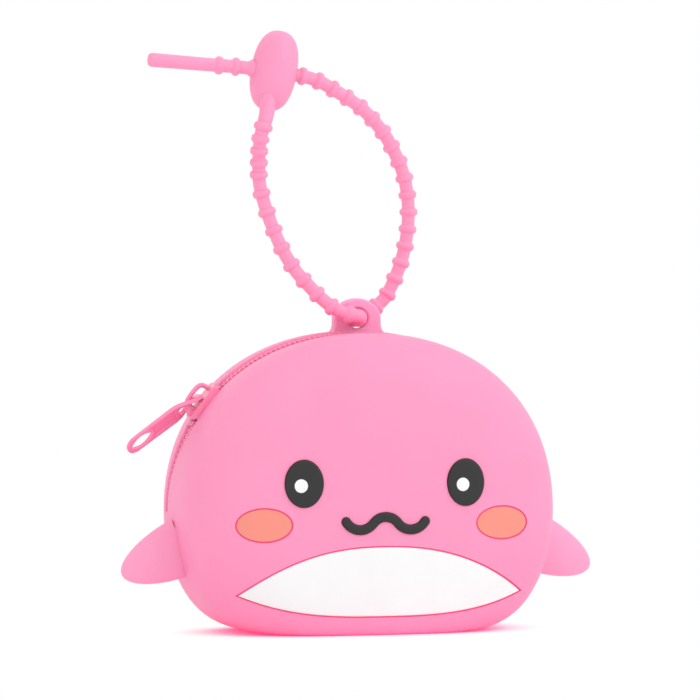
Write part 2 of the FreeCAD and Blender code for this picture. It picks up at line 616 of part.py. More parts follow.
def build():
    """All pieces, by node name."""
    outer = pebble(0)
    collar = ring_sector(
        TAPE_RADIUS - COLLAR_SINK, FAR, -MOUTH_HALF_WIDTH - COLLAR_WIDTH, MOUTH_HALF_WIDTH + COLLAR_WIDTH,
        ZIP_END_ANGLE, 180 - ZIP_END_ANGLE)
    hollow = outer.cut(pebble(-WALL).cut(collar))
    mouth_gap = ring_sector(
        RIM_RADIUS / 2, FAR, -MOUTH_HALF_WIDTH, MOUTH_HALF_WIDTH, ZIP_END_ANGLE, 180 - ZIP_END_ANGLE)
    tapes = {"front": tape(-1), "rear": tape(1)}
    slit = hollow.cut(mouth_gap)
    front = slit.common(front_region(SEAM_GAP)).cut(tapes["front"])
    rear = slit.cut(front_region(0)).cut(tapes["rear"])
    seated = pebble(SEAT_GAP)
    pieces = {"strap_lug": strap_lug().cut(seated), "slider_body": slider_body(), "pull_tab": pull_tab()}
    for name, side in (("left", -1), ("right", 1)):
        pieces[name + "_fin"] = fin(side).cut(seated)
    for name, side in (("front", -1), ("rear", 1)):
        pieces[name + "_zip_tape"] = tapes[name]
        pieces[name + "_zip_coil"] = coil(side, 0.5 if side > 0 else 0.0)
        pieces[name + "_top_stop"] = top_stop(side)
    pieces["bottom_stop"] = bottom_stop()
    floor = pebble(-INLAY_DEPTH)
    pocket_floor = pebble(-INLAY_DEPTH - INLAY_GAP)
    skins = {rise: pebble(rise) for rise in (FACE_RISE, PATCH_RISE)}
    for name, (prism, rise) in inlay_prisms(0).items():
        pieces[name] = prism.common(skins[rise]).cut(floor)
    for prism, rise in inlay_prisms(INLAY_GAP).values():
        front = front.cut(prism.cut(pocket_floor))
    pupil_skin = pebble(PUPIL_RISE)
    pupil_floor = pebble(-PUPIL_DEPTH)
    pupil_pocket = pebble(-PUPIL_DEPTH - INLAY_GAP)
    for name, side in (("left", -1), ("right", 1)):
        pieces[name + "_pupil"] = pupil_prism(side, 0).common(pupil_skin).cut(pupil_floor)
        pieces[name + "_eye"] = pieces[name + "_eye"].cut(pupil_prism(side, INLAY_GAP).cut(pupil_pocket))
    pieces["front_shell"] = front
    pieces["rear_shell"] = rear
    pieces["strap_bead"] = strap_bead()
    pieces["strap_cord"] = strap_cord()
    return pieces


os.makedirs("parts", exist_ok=True)
for node, shape in build().items():
    solids = shape.Solids
    state = "valid" if shape.isValid() else "INVALID"
    print(node, len(solids), "solid", round(shape.Volume, 1), "mm3", state)
    result = solids[0] if len(solids) == 1 else Part.makeCompound(solids)
    result.exportStep("parts/" + node + ".step")
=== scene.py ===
import json
import math

import bmesh
import bpy
from mathutils import Matrix, Vector
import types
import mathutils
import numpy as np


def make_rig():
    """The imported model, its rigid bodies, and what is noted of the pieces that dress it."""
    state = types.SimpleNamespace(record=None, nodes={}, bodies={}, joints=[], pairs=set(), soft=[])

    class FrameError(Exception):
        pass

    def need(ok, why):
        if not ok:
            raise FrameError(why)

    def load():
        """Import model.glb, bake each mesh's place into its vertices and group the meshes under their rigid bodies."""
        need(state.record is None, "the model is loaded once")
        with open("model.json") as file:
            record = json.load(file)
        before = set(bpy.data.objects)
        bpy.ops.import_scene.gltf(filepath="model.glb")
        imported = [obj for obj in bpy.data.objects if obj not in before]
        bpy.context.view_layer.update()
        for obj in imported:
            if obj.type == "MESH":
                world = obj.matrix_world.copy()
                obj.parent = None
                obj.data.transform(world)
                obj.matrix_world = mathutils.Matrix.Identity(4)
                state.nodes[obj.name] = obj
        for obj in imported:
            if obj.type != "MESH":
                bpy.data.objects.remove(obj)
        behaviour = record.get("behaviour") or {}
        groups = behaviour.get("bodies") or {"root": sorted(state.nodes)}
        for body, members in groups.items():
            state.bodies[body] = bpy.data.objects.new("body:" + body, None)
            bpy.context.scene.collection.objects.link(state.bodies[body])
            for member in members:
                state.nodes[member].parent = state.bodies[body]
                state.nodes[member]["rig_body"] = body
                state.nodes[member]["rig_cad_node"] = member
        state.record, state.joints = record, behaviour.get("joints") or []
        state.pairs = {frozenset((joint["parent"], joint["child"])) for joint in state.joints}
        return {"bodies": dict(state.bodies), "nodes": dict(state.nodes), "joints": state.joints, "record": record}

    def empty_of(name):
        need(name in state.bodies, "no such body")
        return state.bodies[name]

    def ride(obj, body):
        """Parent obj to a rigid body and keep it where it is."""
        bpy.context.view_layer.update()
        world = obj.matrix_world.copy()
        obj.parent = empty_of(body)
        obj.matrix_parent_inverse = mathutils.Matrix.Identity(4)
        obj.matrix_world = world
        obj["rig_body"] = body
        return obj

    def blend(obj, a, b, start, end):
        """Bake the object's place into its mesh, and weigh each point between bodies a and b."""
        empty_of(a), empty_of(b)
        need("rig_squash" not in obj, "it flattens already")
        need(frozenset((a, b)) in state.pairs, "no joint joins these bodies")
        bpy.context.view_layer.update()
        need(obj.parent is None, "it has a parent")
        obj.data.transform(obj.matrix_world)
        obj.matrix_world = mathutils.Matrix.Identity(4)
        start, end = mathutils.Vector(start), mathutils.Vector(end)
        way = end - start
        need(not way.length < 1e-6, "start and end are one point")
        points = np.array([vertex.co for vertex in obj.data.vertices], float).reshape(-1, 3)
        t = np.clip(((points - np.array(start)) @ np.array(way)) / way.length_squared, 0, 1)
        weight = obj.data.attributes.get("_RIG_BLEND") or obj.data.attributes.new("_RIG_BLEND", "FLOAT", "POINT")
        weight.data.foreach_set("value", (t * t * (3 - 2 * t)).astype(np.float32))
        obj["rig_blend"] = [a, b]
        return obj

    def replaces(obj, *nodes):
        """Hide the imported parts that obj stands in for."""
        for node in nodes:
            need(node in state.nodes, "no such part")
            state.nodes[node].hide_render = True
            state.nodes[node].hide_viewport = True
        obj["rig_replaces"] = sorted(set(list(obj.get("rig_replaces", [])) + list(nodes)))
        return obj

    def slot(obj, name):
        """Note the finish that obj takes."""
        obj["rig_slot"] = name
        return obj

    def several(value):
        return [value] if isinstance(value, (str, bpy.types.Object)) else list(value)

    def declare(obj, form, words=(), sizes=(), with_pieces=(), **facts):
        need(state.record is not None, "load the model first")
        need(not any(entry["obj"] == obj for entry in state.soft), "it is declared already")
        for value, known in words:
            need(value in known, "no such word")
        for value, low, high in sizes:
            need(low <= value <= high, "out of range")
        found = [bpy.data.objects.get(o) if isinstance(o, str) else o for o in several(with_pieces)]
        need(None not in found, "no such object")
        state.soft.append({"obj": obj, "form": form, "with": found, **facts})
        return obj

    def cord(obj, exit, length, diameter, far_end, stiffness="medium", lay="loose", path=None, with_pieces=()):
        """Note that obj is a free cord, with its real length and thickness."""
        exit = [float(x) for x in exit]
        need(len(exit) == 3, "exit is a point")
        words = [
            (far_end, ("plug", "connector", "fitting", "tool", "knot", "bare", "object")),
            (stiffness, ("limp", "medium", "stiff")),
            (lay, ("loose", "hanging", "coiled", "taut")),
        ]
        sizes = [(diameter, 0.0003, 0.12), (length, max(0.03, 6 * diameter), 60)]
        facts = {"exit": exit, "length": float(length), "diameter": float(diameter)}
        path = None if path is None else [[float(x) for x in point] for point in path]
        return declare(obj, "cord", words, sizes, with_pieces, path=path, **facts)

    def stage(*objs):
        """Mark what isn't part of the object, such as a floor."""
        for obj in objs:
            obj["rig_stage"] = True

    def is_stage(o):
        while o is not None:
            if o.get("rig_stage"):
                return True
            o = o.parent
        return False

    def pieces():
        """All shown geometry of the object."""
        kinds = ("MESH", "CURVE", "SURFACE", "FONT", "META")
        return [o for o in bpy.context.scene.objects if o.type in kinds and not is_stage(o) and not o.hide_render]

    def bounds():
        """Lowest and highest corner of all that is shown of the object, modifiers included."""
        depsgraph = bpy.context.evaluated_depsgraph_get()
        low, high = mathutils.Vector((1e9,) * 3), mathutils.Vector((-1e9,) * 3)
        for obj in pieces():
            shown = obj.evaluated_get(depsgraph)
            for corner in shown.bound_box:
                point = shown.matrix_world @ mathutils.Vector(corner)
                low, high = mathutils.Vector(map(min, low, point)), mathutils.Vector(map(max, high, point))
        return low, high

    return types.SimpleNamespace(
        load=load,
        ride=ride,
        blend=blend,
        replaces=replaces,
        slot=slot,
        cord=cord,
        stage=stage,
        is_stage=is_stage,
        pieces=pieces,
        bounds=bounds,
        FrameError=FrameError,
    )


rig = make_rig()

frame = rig.load()
CAD_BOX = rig.bounds()

# Silicone coin purse in the form of a small whale. Pieces are modelled in millimetres, in the frame's axes:
# +Z up and the face towards -Y. Each piece is brought to metres when its mesh is made.
MM = 0.001

# View
VIEW_AZIMUTH = -17.1
VIEW_ELEVATION = 0.0
VIEW_DISTANCE = 1000.0
VIEW_WIDTH = 189.0          # width of the picture at the object
VIEW_SHIFT = (-2.4, 75.45)   # what the picture is centred on, to the right of and above the origin
SENSOR = 36.0

# Body skin: an oval with rounded shoulders, flat underneath
BODY_CENTRE = Vector((0, 0, 32.25))
BODY_HALF_WIDTH = 52.1
BODY_HALF_DEPTH = 24.0
BODY_RISE = 48.45
BODY_KEEL = 43.8
OUTLINE_POWER = 2.16
DEPTH_POWER = 4.0
SKIN_SEGMENTS = 144
SKIN_RINGS = 80
WALL = 2.2
BASE_EDGE = 5.0
SIDE_EDGE = 4.0             # more of that rounding towards the sides,
SIDE_START = 20.0           # from here outward
LIP_Y = 2.8
LIP_CATCH = 0.5
LIP_ROUND = 0.55
LIP_CLOSE = 0.54            # share of its width by which the mouth closes at its ends
MOUTH_LEAN = 6.5            # how far back the mouth's left end lies,
LEAN_ABOVE = 32.0           # and the heights over which it turns back,
LEAN_BELOW = 20.0
DRAW_FADE = 14.0            # while skin further than this from the middle stays
FRONT_SINK = 1.1            # the front lip lies this far below the rear one at the top
MOUTH_END_Z = BODY_CENTRE.z
ON_SKIN = 0.002             # how far a level may be from 1 on the skin
ON_LIP = 0.001

# Zip: tapes and teeth follow the mouth's outline at depths below the skin, the slider a circle about the rim
RIM_CENTRE = Vector((0, 0, 28.5))
TAPE_STEP = 1.6
TAPE_DEPTH = 1.5
TAPE_THICKNESS = 0.6
TAPE_EDGES = (0.6, 1.7, 2.8, 3.9, 5.0)
TAPE_END_EDGE = 0.2         # the tapes come closer past the slider's way,
TAPE_END_STEPS = 5          # over this many steps at each end,
TAPE_END_REACH = 1.3        # and run on past their last steps
TOOTH_PITCH = 1.45
TOOTH_WIDTH = 0.78
TOOTH_ROUND = 0.4           # share of that width
TOOTH_SPAN = 2.4
TOOTH_MIDDLE = 0.55
TOOTH_DEPTH = 0.6           # the teeth's tops lie this far below the skin
END_TEETH = 2               # places left without teeth at each end
STOP_LENGTH = 1.6
STOP_WIDTH = 1.7
STOP_SHIFT = 1.15
STOP_ROUND = 0.3
LOWER_STOP_WIDTH = 3.4
TOP_STOP_ANGLE = 150.0
LOWER_STOP_ANGLE = 11.8
SLIDER_ANGLE = 142.6
SLIDER_LENGTH = 11.4
SLIDER_WIDTH = 6.8
PLATE_TOP = 55.6
PLATE_THICKNESS = 1.5
LOWER_PLATE_Z = 49.6
PLATE_CORNER = 1.6
POST_SIZE = (2.2, 1.0)
POST_X = -4.4
POST_CORNER = 0.3
# The slider's side lips: size, place along it, inset from its side, depth of the middle and corner
SLIDER_LIPS = (((5.8, 0.7, 2.2), 1.8, 0.2, 1.12, 0.3), ((5.2, 0.5, 1.9), -2.6, 0.4, 1.2, 0.2))
SLIDER_ROUND = 0.16
TAB_PIVOT_Z = 56.6
TAB_LIFT = 16.5

# Strap: the route's points, from inside the bead down to the lug, through it and back through the bead
STRAP_ROUTE = [
    (-24.3, 4.6, 148.0), (-24.5, 3.6, 145.2), (-24.9, 2.2, 142.4), (-25.4, 1.1, 139.6), (-26.1, 0.4, 137.2),
    (-26.9, 0.3, 134.8), (-27.5, 0.8, 131.8), (-27.5, 1.8, 128.7), (-27.2, 3.1, 125.4), (-26.9, 4.2, 121.6),
    (-26.2, 4.7, 118.2), (-24.6, 4.8, 112.9),
    (-22.7, 4.2, 107.6), (-20.5, 3.2, 102.2), (-17.3, 2.4, 96.8), (-13.5, 1.6, 92.6), (-9.8, 1.0, 88.8),
    (-5.3, 0.2, 85.6), (1.0, 0.2, 84.1), (1.0, 11.2, 84.1), (6.4, 11.2, 86.0), (10.2, 11.0, 88.8),
    (12.1, 11.0, 91.6), (14.6, 10.6, 97.2), (16.2, 10.2, 102.7), (17.0, 9.8, 108.2), (17.2, 9.4, 113.6),
    (16.6, 9.0, 119.1), (15.2, 8.6, 124.5), (12.6, 8.2, 129.8), (9.4, 7.8, 135.0), (4.1, 7.2, 140.4),
    (0.4, 6.8, 143.0), (-4.5, 6.4, 145.7), (-9.2, 6.0, 148.2), (-14.1, 5.7, 149.6), (-30.0, 5.7, 151.5),
    (-38.7, 5.7, 151.9), (-50.0, 5.7, 152.57), (-55.6, 5.7, 152.9), (-57.2, 5.7, 153.0)]
STRAP_STEPS = 24
STRAP_SIDES = 20
STRAP_CORE = 1.78
RIB_RISE = 0.7
RIB_HALF_WIDTH = 1.0
NECK_LENGTH = 13.85
CLOSE_RIBS = 4              # pitches close to the bead, which are shorter
CLOSE_PITCH = 3.3
WIDE_PITCH = 5.24
WIDE_END = 82.3
RIB_PITCH = 4.7
NECK_SWELL = 0.62
SWELL_LENGTH = 17.5
TAIL_LENGTH = 18.3
TAIL_SWELL = 0.12
END_ROUND = 1.2
BEAD_CENTRE = Vector((-22.2, 5.7, 150.75))
BEAD_RADIUS = 6.2
BEAD_HALF_LENGTH = 10.95
BEAD_POWER = 2.4
BEAD_LEAN = 11.0
BEAD_SIDES = 56
BEAD_RINGS = 36
BEAD_BORE = 2.3
BORE_RISE = 6.8
BORE_ROUND = 0.35
BORE_SHARP = 45
BORE_SIDES = 40

# How the front flexes when the zip opens: nothing moves before the first plane, all of it past the second
FLEX_WAY = Vector((0, -0.8425, 0.5388))
FLEX_START = FLEX_WAY * 18.5 * MM
FLEX_END = FLEX_WAY * 40.0 * MM


# Materials

LOW_SHADE_TINT = (1.0, 0.9, 0.95)     # painted shade: what the body's colour is multiplied by at the ground
LOW_SHADE_HEIGHT = 0.03              # and the height in metres where that painted shade ends
CLOUD_SCALE = 60.0
SMEAR_SCALE = 240.0
GRAIN_SCALE = 2600.0
THREAD_SCALE = 0.55
COIL_SCALE = 900.0
RIPPLE_SCALE = 700.0
SCATTER_RADIUS = (1.0, 0.35, 0.45)
SCATTER_SCALE = 0.002


def new_material(name):
    """A node material with its shader, and a texture coordinate in the object's own space."""
    material = bpy.data.materials.new(name)
    material.use_nodes = True
    nodes = material.node_tree.nodes
    shader = nodes["Principled BSDF"]
    place = nodes.new("ShaderNodeTexCoord")
    return material, shader, place.outputs["Object"]


def set_inputs(node, values):
    for socket, value in values.items():
        node.inputs[socket].default_value = value


def add_node(material, kind, settings, links):
    """One more node, with values for its sockets and links from other nodes' outputs."""
    node = material.node_tree.nodes.new(kind)
    set_inputs(node, settings)
    for socket, source in links.items():
        material.node_tree.links.new(source, node.inputs[socket])
    return node


def add_noise(material, place, scale, detail):
    noise = add_node(material, "ShaderNodeTexNoise", {"Scale": scale, "Detail": detail}, {"Vector": place})
    return noise.outputs["Fac"]


def add_ramp(material, factor, stops):
    """A colour ramp with its stops given as place and colour."""
    ramp = add_node(material, "ShaderNodeValToRGB", {}, {"Fac": factor})
    elements = ramp.color_ramp.elements
    while len(elements) < len(stops):
        elements.new(0.5)
    for element, (position, colour) in zip(elements, stops):
        element.position = position
        element.color = (*colour, 1)
    return ramp.outputs["Color"]


def add_range(material, value, low, high):
    """Maps a value from 0 to 1 onto a range."""
    return add_node(
        material, "ShaderNodeMapRange", {"To Min": low, "To Max": high}, {"Value": value}).outputs["Result"]


def add_bump(material, shader, height, strength, distance):
    bump = add_node(
        material, "ShaderNodeBump", {"Strength": strength, "Distance": distance}, {"Height": height})
    material.node_tree.links.new(bump.outputs["Normal"], shader.inputs["Normal"])


def shade(colour, factor):
    return tuple(channel * factor for channel in colour)


def painted_low_shade(material, place, tint):
    """Deepens a tint towards the ground, as painted shade low on the body."""
    height = add_node(material, "ShaderNodeSeparateXYZ", {}, {"Vector": place}).outputs["Z"]
    share = add_node(material, "ShaderNodeMapRange", {"From Max": LOW_SHADE_HEIGHT}, {"Value": height})
    depth = add_ramp(material, share.outputs["Result"], [(0.0, LOW_SHADE_TINT), (1.0, (1, 1, 1))])
    mix = add_node(material, "ShaderNodeMixRGB", {"Fac": 1.0}, {"Color1": tint, "Color2": depth})
    mix.blend_type = "MULTIPLY"
    return mix.outputs["Color"]


def silicone(name, colour, gloss, scatter, paints_low_shade=False):
    """Moulded silicone: soft gloss, faint clouding and a fine satin grain, with painted shade towards the ground where
    asked.
    """
    material, shader, place = new_material(name)
    links = material.node_tree.links
    cloud = add_noise(material, place, CLOUD_SCALE, 3.0)
    tint = add_ramp(material, cloud, [(0.3, shade(colour, 0.965)), (0.7, colour)])
    # Painted shade: the tint darkens towards the ground.
    if paints_low_shade:
        tint = painted_low_shade(material, place, tint)
    links.new(tint, shader.inputs["Base Color"])
    smear = add_noise(material, place, SMEAR_SCALE, 4.0)
    links.new(add_range(material, smear, gloss - 0.06, gloss + 0.08), shader.inputs["Roughness"])
    grain = add_noise(material, place, GRAIN_SCALE, 2.0)
    add_bump(material, shader, grain, 0.06, 0.0002)
    set_inputs(shader, {
        "Subsurface Weight": scatter, "Subsurface Radius": SCATTER_RADIUS, "Subsurface Scale": SCATTER_SCALE,
        "Specular IOR Level": 0.4})
    return material


def woven_tape(name, colour):
    """Woven zip tape: fine crossing threads that follow the tape, along u and across v in millimetres."""
    material, shader, _ = new_material(name)
    links = material.node_tree.links
    way = material.node_tree.nodes.new("ShaderNodeUVMap").outputs["UV"]
    threads = []
    for direction in ("X", "Y"):
        wave = add_node(
            material, "ShaderNodeTexWave", {"Scale": THREAD_SCALE, "Distortion": 0.6}, {"Vector": way})
        wave.bands_direction = direction
        threads.append(wave.outputs["Fac"])
    weave = add_node(material, "ShaderNodeMath", {}, {0: threads[0], 1: threads[1]})
    weave.operation = "MAXIMUM"
    tint = add_ramp(material, weave.outputs[0], [(0.2, shade(colour, 0.7)), (0.85, colour)])
    links.new(tint, shader.inputs["Base Color"])
    add_bump(material, shader, weave.outputs[0], 0.5, 0.0002)
    set_inputs(shader, {"Roughness": 0.8, "Sheen Weight": 0.2})
    return material


def zip_plastic(name, colour):
    """Hard nylon of the coil, a little uneven in gloss."""
    material, shader, place = new_material(name)
    links = material.node_tree.links
    smear = add_noise(material, place, COIL_SCALE, 2.0)
    tint = add_ramp(material, smear, [(0.3, shade(colour, 0.9)), (0.7, colour)])
    links.new(tint, shader.inputs["Base Color"])
    links.new(add_range(material, smear, 0.3, 0.45), shader.inputs["Roughness"])
    return material


def painted_metal(name, colour):
    """Glossy paint on cast zinc: slight ripple and thin spots."""
    material, shader, place = new_material(name)
    links = material.node_tree.links
    ripple = add_noise(material, place, RIPPLE_SCALE, 3.0)
    tint = add_ramp(material, ripple, [(0.35, shade(colour, 0.93)), (0.65, colour)])
    links.new(tint, shader.inputs["Base Color"])
    links.new(add_range(material, ripple, 0.26, 0.38), shader.inputs["Roughness"])
    add_bump(material, shader, ripple, 0.05, 0.0003)
    set_inputs(shader, {"Coat Weight": 0.35, "Coat Roughness": 0.2})
    return material


# The body's pink darkens towards the ground: painted shade.
PINK = silicone("pink_silicone", (1.0, 0.32, 0.533), 0.5, 0.12, paints_low_shade=True)
# The fins' pink is a little lighter than the body's and does not darken towards the ground.
FIN_PINK = silicone("fin_silicone", (1.0, 0.365, 0.585), 0.5, 0.12)
# Painted light: the lug's pink is lighter than the body's, for light that comes through the thin lug.
LUG_LIT_PINK = silicone("lug_lit_silicone", (1.0, 0.4, 0.63), 0.5, 0.6)
STRAP_PINK = silicone("strap_silicone", (1.0, 0.325, 0.54), 0.45, 0.12)
# Painted shade: the deep pink of the pockets' walls around the inlays, where shade falls in the grooves.
GROOVE_SHADE = silicone("painted_groove_shade", (1.0, 0.1, 0.27), 0.5, 0.25)
BLACK = silicone("black_silicone", (0.024, 0.024, 0.025), 0.5, 0.0)
WHITE = silicone("white_silicone", (0.93, 0.92, 0.925), 0.5, 0.1)
CORAL = silicone("coral_silicone", (0.985, 0.30, 0.235), 0.5, 0.2)
TAPE = woven_tape("zip_tape", (1.0, 0.24, 0.44))
TEETH = zip_plastic("zip_teeth", (1.0, 0.28, 0.49))
PAINT = painted_metal("painted_zip_metal", (0.99, 0.26, 0.47))


# Meshes and pieces

# Angles in degrees from which an edge is shaded sharp
SKIN_SHARP = 35
PLATE_SHARP = 40
SMALL_SHARP = 50
ROUND_SHARP = 60


def everything(bm):
    return bm.verts[:] + bm.edges[:] + bm.faces[:]


def face_outward(bm):
    """Turns all faces outward, by where their points are now."""
    bm.normal_update()
    bmesh.ops.recalc_face_normals(bm, faces=bm.faces)


def round_edges(bm, edges, offset, segments):
    return bmesh.ops.bevel(
        bm, geom=edges, offset=offset, segments=segments, profile=0.5, affect="EDGES", material=-1)


def made_verts(geom):
    return [item for item in geom if isinstance(item, bmesh.types.BMVert)]


def extrude_by(bm, faces, way):
    """Extrudes faces and moves the new ones."""
    made = bmesh.ops.extrude_face_region(bm, geom=faces)["geom"]
    bmesh.ops.translate(bm, vec=way, verts=made_verts(made))


def next_ring(bm, edges):
    """Extrudes a ring of edges onto itself, and gives the new ring's verts and edges."""
    made = bmesh.ops.extrude_edge_only(bm, edges=edges)["geom"]
    verts = made_verts(made)
    new = set(verts)
    ring = [item for item in made if isinstance(item, bmesh.types.BMEdge)
            and all(vert in new for vert in item.verts)]
    return verts, ring


def loft(bm, verts, edges, rings):
    """A closed tube from its first ring's verts and edges through the places of every ring."""
    bmesh.ops.contextual_create(bm, geom=edges)
    laid = []
    for count, places in enumerate(rings):
        if count:
            verts, edges = next_ring(bm, edges)
        for vert, place in zip(verts, places):
            vert.co = place
        laid.append(verts)
    bmesh.ops.contextual_create(bm, geom=edges)
    return laid


def mesh_object(bm, name, sharp_angle):
    """An object at the origin from a shape in millimetres."""
    bmesh.ops.scale(bm, vec=(MM, MM, MM), verts=bm.verts)
    mesh = bpy.data.meshes.new(name)
    bm.to_mesh(mesh)
    bm.free()
    mesh.shade_smooth()
    mesh.set_sharp_from_angle(angle=math.radians(sharp_angle))
    piece = bpy.data.objects.new(name, mesh)
    bpy.context.scene.collection.objects.link(piece)
    return piece


def dress(piece, material, slot, *nodes):
    """The piece's finish, and the nodes that it stands for."""
    piece.data.materials.clear()
    piece.data.materials.append(material)
    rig.slot(piece, slot)
    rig.replaces(piece, *nodes)
    return piece


def flex(piece):
    """The piece bends with the front when the zip opens."""
    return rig.blend(piece, "rear_body", "front_body", start=FLEX_START, end=FLEX_END)


def applied(piece):
    """Applies the piece's modifiers."""
    depsgraph = bpy.context.evaluated_depsgraph_get()
    mesh = bpy.data.meshes.new_from_object(piece.evaluated_get(depsgraph))
    old = piece.data
    piece.modifiers.clear()
    piece.data = mesh
    bpy.data.meshes.remove(old)
    mesh.name = piece.name
    return piece


def carved(piece, cutters):
    """Cuts the shapes of other objects, with their finish, out of a piece and removes those objects."""
    for cutter in cutters:
        cut = piece.modifiers.new("cut", "BOOLEAN")
        cut.operation = "DIFFERENCE"
        cut.solver = "EXACT"
        cut.material_mode = "TRANSFER"
        cut.object = cutter
    applied(piece)
    for cutter in cutters:
        bpy.data.objects.remove(cutter)
    return piece


def rounded(piece, width, segments, angle, hard=True):
    """A bevel modifier on the piece's sharper edges."""
    bevel = piece.modifiers.new("rounding", "BEVEL")
    bevel.width = width * MM
    bevel.segments = segments
    bevel.limit_method = "ANGLE"
    bevel.angle_limit = math.radians(angle)
    bevel.harden_normals = hard
    return piece


# Body

def reach_of(height):
    """How far the body reaches above or below its centre."""
    return BODY_RISE if height >= 0 else BODY_KEEL


def outline_share(x, z):
    """How far out a place lies in the outline, 1 on it: x and z are shares of the half sizes."""
    return abs(x) ** OUTLINE_POWER + abs(z) ** OUTLINE_POWER


def level_of(x, y, z):
    """1 on the skin and less inside it, for a place given as shares of the half sizes."""
    return outline_share(x, z) ** (DEPTH_POWER / OUTLINE_POWER) + abs(y) ** DEPTH_POWER


def skin_point(direction):
    """The point of the skin that lies in a direction from the body's centre."""
    away = Vector((
        direction.x * BODY_HALF_WIDTH, direction.y * BODY_HALF_DEPTH, direction.z * reach_of(direction.z)))
    return BODY_CENTRE + away * level_of(*direction) ** (-1 / DEPTH_POWER)


def skin_shares(point):
    """A point's place as shares of the body's half sizes."""
    away = point - BODY_CENTRE
    return away.x / BODY_HALF_WIDTH, away.y / BODY_HALF_DEPTH, away.z / reach_of(away.z)


def skin_normal(point):
    """The way out of the skin."""
    x, y, z = skin_shares(point)
    share = max(outline_share(x, z), 1e-9) ** (DEPTH_POWER / OUTLINE_POWER - 1)
    slope_x = share * math.copysign(abs(x) ** (OUTLINE_POWER - 1), x) / BODY_HALF_WIDTH
    slope_y = math.copysign(abs(y) ** (DEPTH_POWER - 1), y) / BODY_HALF_DEPTH
    slope_z = share * math.copysign(abs(z) ** (OUTLINE_POWER - 1), z) / reach_of(z)
    return Vector((slope_x, slope_y, slope_z)).normalized()


def face_y(x, z, rise):
    """Y of the front of the skin at a place on the face, raised by a little."""
    height = z - BODY_CENTRE.z
    outline = outline_share(x / (BODY_HALF_WIDTH + rise), height / (reach_of(height) + rise))
    depth = max(0.0, 1 - outline ** (DEPTH_POWER / OUTLINE_POWER))
    return -(BODY_HALF_DEPTH + rise) * depth ** (1 / DEPTH_POWER)


def split(bm, place, way, clear=False):
    """Cuts a shape with a plane, and may remove what lies ahead of it."""
    bmesh.ops.bisect_plane(
        bm, geom=everything(bm), dist=1e-4, plane_co=place, plane_no=way, clear_outer=clear)


def stand(point):
    """Sets a point on the ground when it lies below it, with a soft turn from the wall to the base."""
    edge = BASE_EDGE + SIDE_EDGE * max(0.0, abs(point.x) / SIDE_START - 1)
    if abs(point.z) < edge:
        point.z = (point.z + edge) ** 2 / (4 * edge)
    point.z = max(point.z, 0.0)
    return point


def at_depth(point, y):
    """The point of the skin at another depth, in line with the body's middle."""
    away = point - BODY_CENTRE
    away.y = y
    x, y_share, z = skin_shares(BODY_CENTRE + away)
    wanted = (1 - abs(y_share) ** DEPTH_POWER) ** (OUTLINE_POWER / DEPTH_POWER)
    grow = (wanted / outline_share(x, z)) ** (1 / OUTLINE_POWER)
    return BODY_CENTRE + Vector((away.x * grow, away.y, away.z * grow))


def slide_to_lip(point):
    """Brings a point of the skin that lies close to the mouth's lip onto it."""
    if abs(abs(point.y) - LIP_Y) > LIP_CATCH:
        return point
    return at_depth(point, math.copysign(LIP_Y, point.y))


def near_mouth_end(z):
    """1 at the height of the mouth's ends, 0 well above and below it."""
    reach = LEAN_ABOVE if z > MOUTH_END_Z else LEAN_BELOW
    share = min(1.0, abs(z - MOUTH_END_Z) / reach)
    return (1 + math.cos(math.pi * share)) / 2


def mouth_middle(point):
    """Y of the mouth's middle at a point of its outline."""
    return MOUTH_LEAN * near_mouth_end(point.z) if point.x < 0 else 0.0


def body_form():
    """The whole outer skin, standing on its flat base."""
    bm = bmesh.new()
    poles_on_y = Matrix.Rotation(math.radians(90), 4, "X")
    bmesh.ops.create_uvsphere(
        bm, u_segments=SKIN_SEGMENTS, v_segments=SKIN_RINGS, radius=1, matrix=poles_on_y)
    for vert in bm.verts:
        vert.co = stand(slide_to_lip(skin_point(vert.co)))
    return bm


def thicken(bm):
    """Draws the lips to their places, gives the skin its wall, and rounds the outer edge of the lips."""
    lip = [edge for edge in bm.edges if edge.is_boundary and all(on_lip(vert.co) for vert in edge.verts)]
    draw_lips(bm)
    face_outward(bm)
    bmesh.ops.solidify(bm, geom=bm.faces[:], thickness=WALL)
    round_edges(bm, [edge for edge in lip if edge.is_valid], LIP_ROUND, 3)


def drawn(point):
    """Where a point of the skin lies when the lips close and turn back, and the front one sinks a little."""
    fade = min(1.0, max(0.0, DRAW_FADE - abs(point.y)) / (DRAW_FADE - LIP_Y))
    lip = min(max(point.y, -LIP_Y), LIP_Y)
    shift = mouth_middle(point) - LIP_CLOSE * lip * near_mouth_end(point.z)
    moved = at_depth(point, point.y + fade * shift)
    if point.y < 0:
        moved.z -= FRONT_SINK * fade * max(0.0, skin_normal(moved).z)
    return moved


def draw_lips(bm):
    for vert in bm.verts:
        if abs(vert.co.y) < DRAW_FADE and vert.co.z > MOUTH_END_Z - LEAN_BELOW:
            vert.co = drawn(vert.co)


def on_lip(point):
    return abs(abs(point.y) - LIP_Y) < ON_LIP and point.z > MOUTH_END_Z - ON_LIP


def smooth_skin(piece):
    """Gives the outer skin the true form's normals, so that no facet or joint shows on it."""
    mesh = piece.data
    normals = []
    for polygon in mesh.polygons:
        points = [mesh.vertices[i].co / MM for i in polygon.vertices]
        outer = all(
            abs(level_of(*skin_shares(point)) - 1) < ON_SKIN and point.z > BASE_EDGE + SIDE_EDGE
            for point in points)
        normals += [skin_normal(point) if outer else Vector() for point in points]
    mesh.normals_split_custom_set(normals)


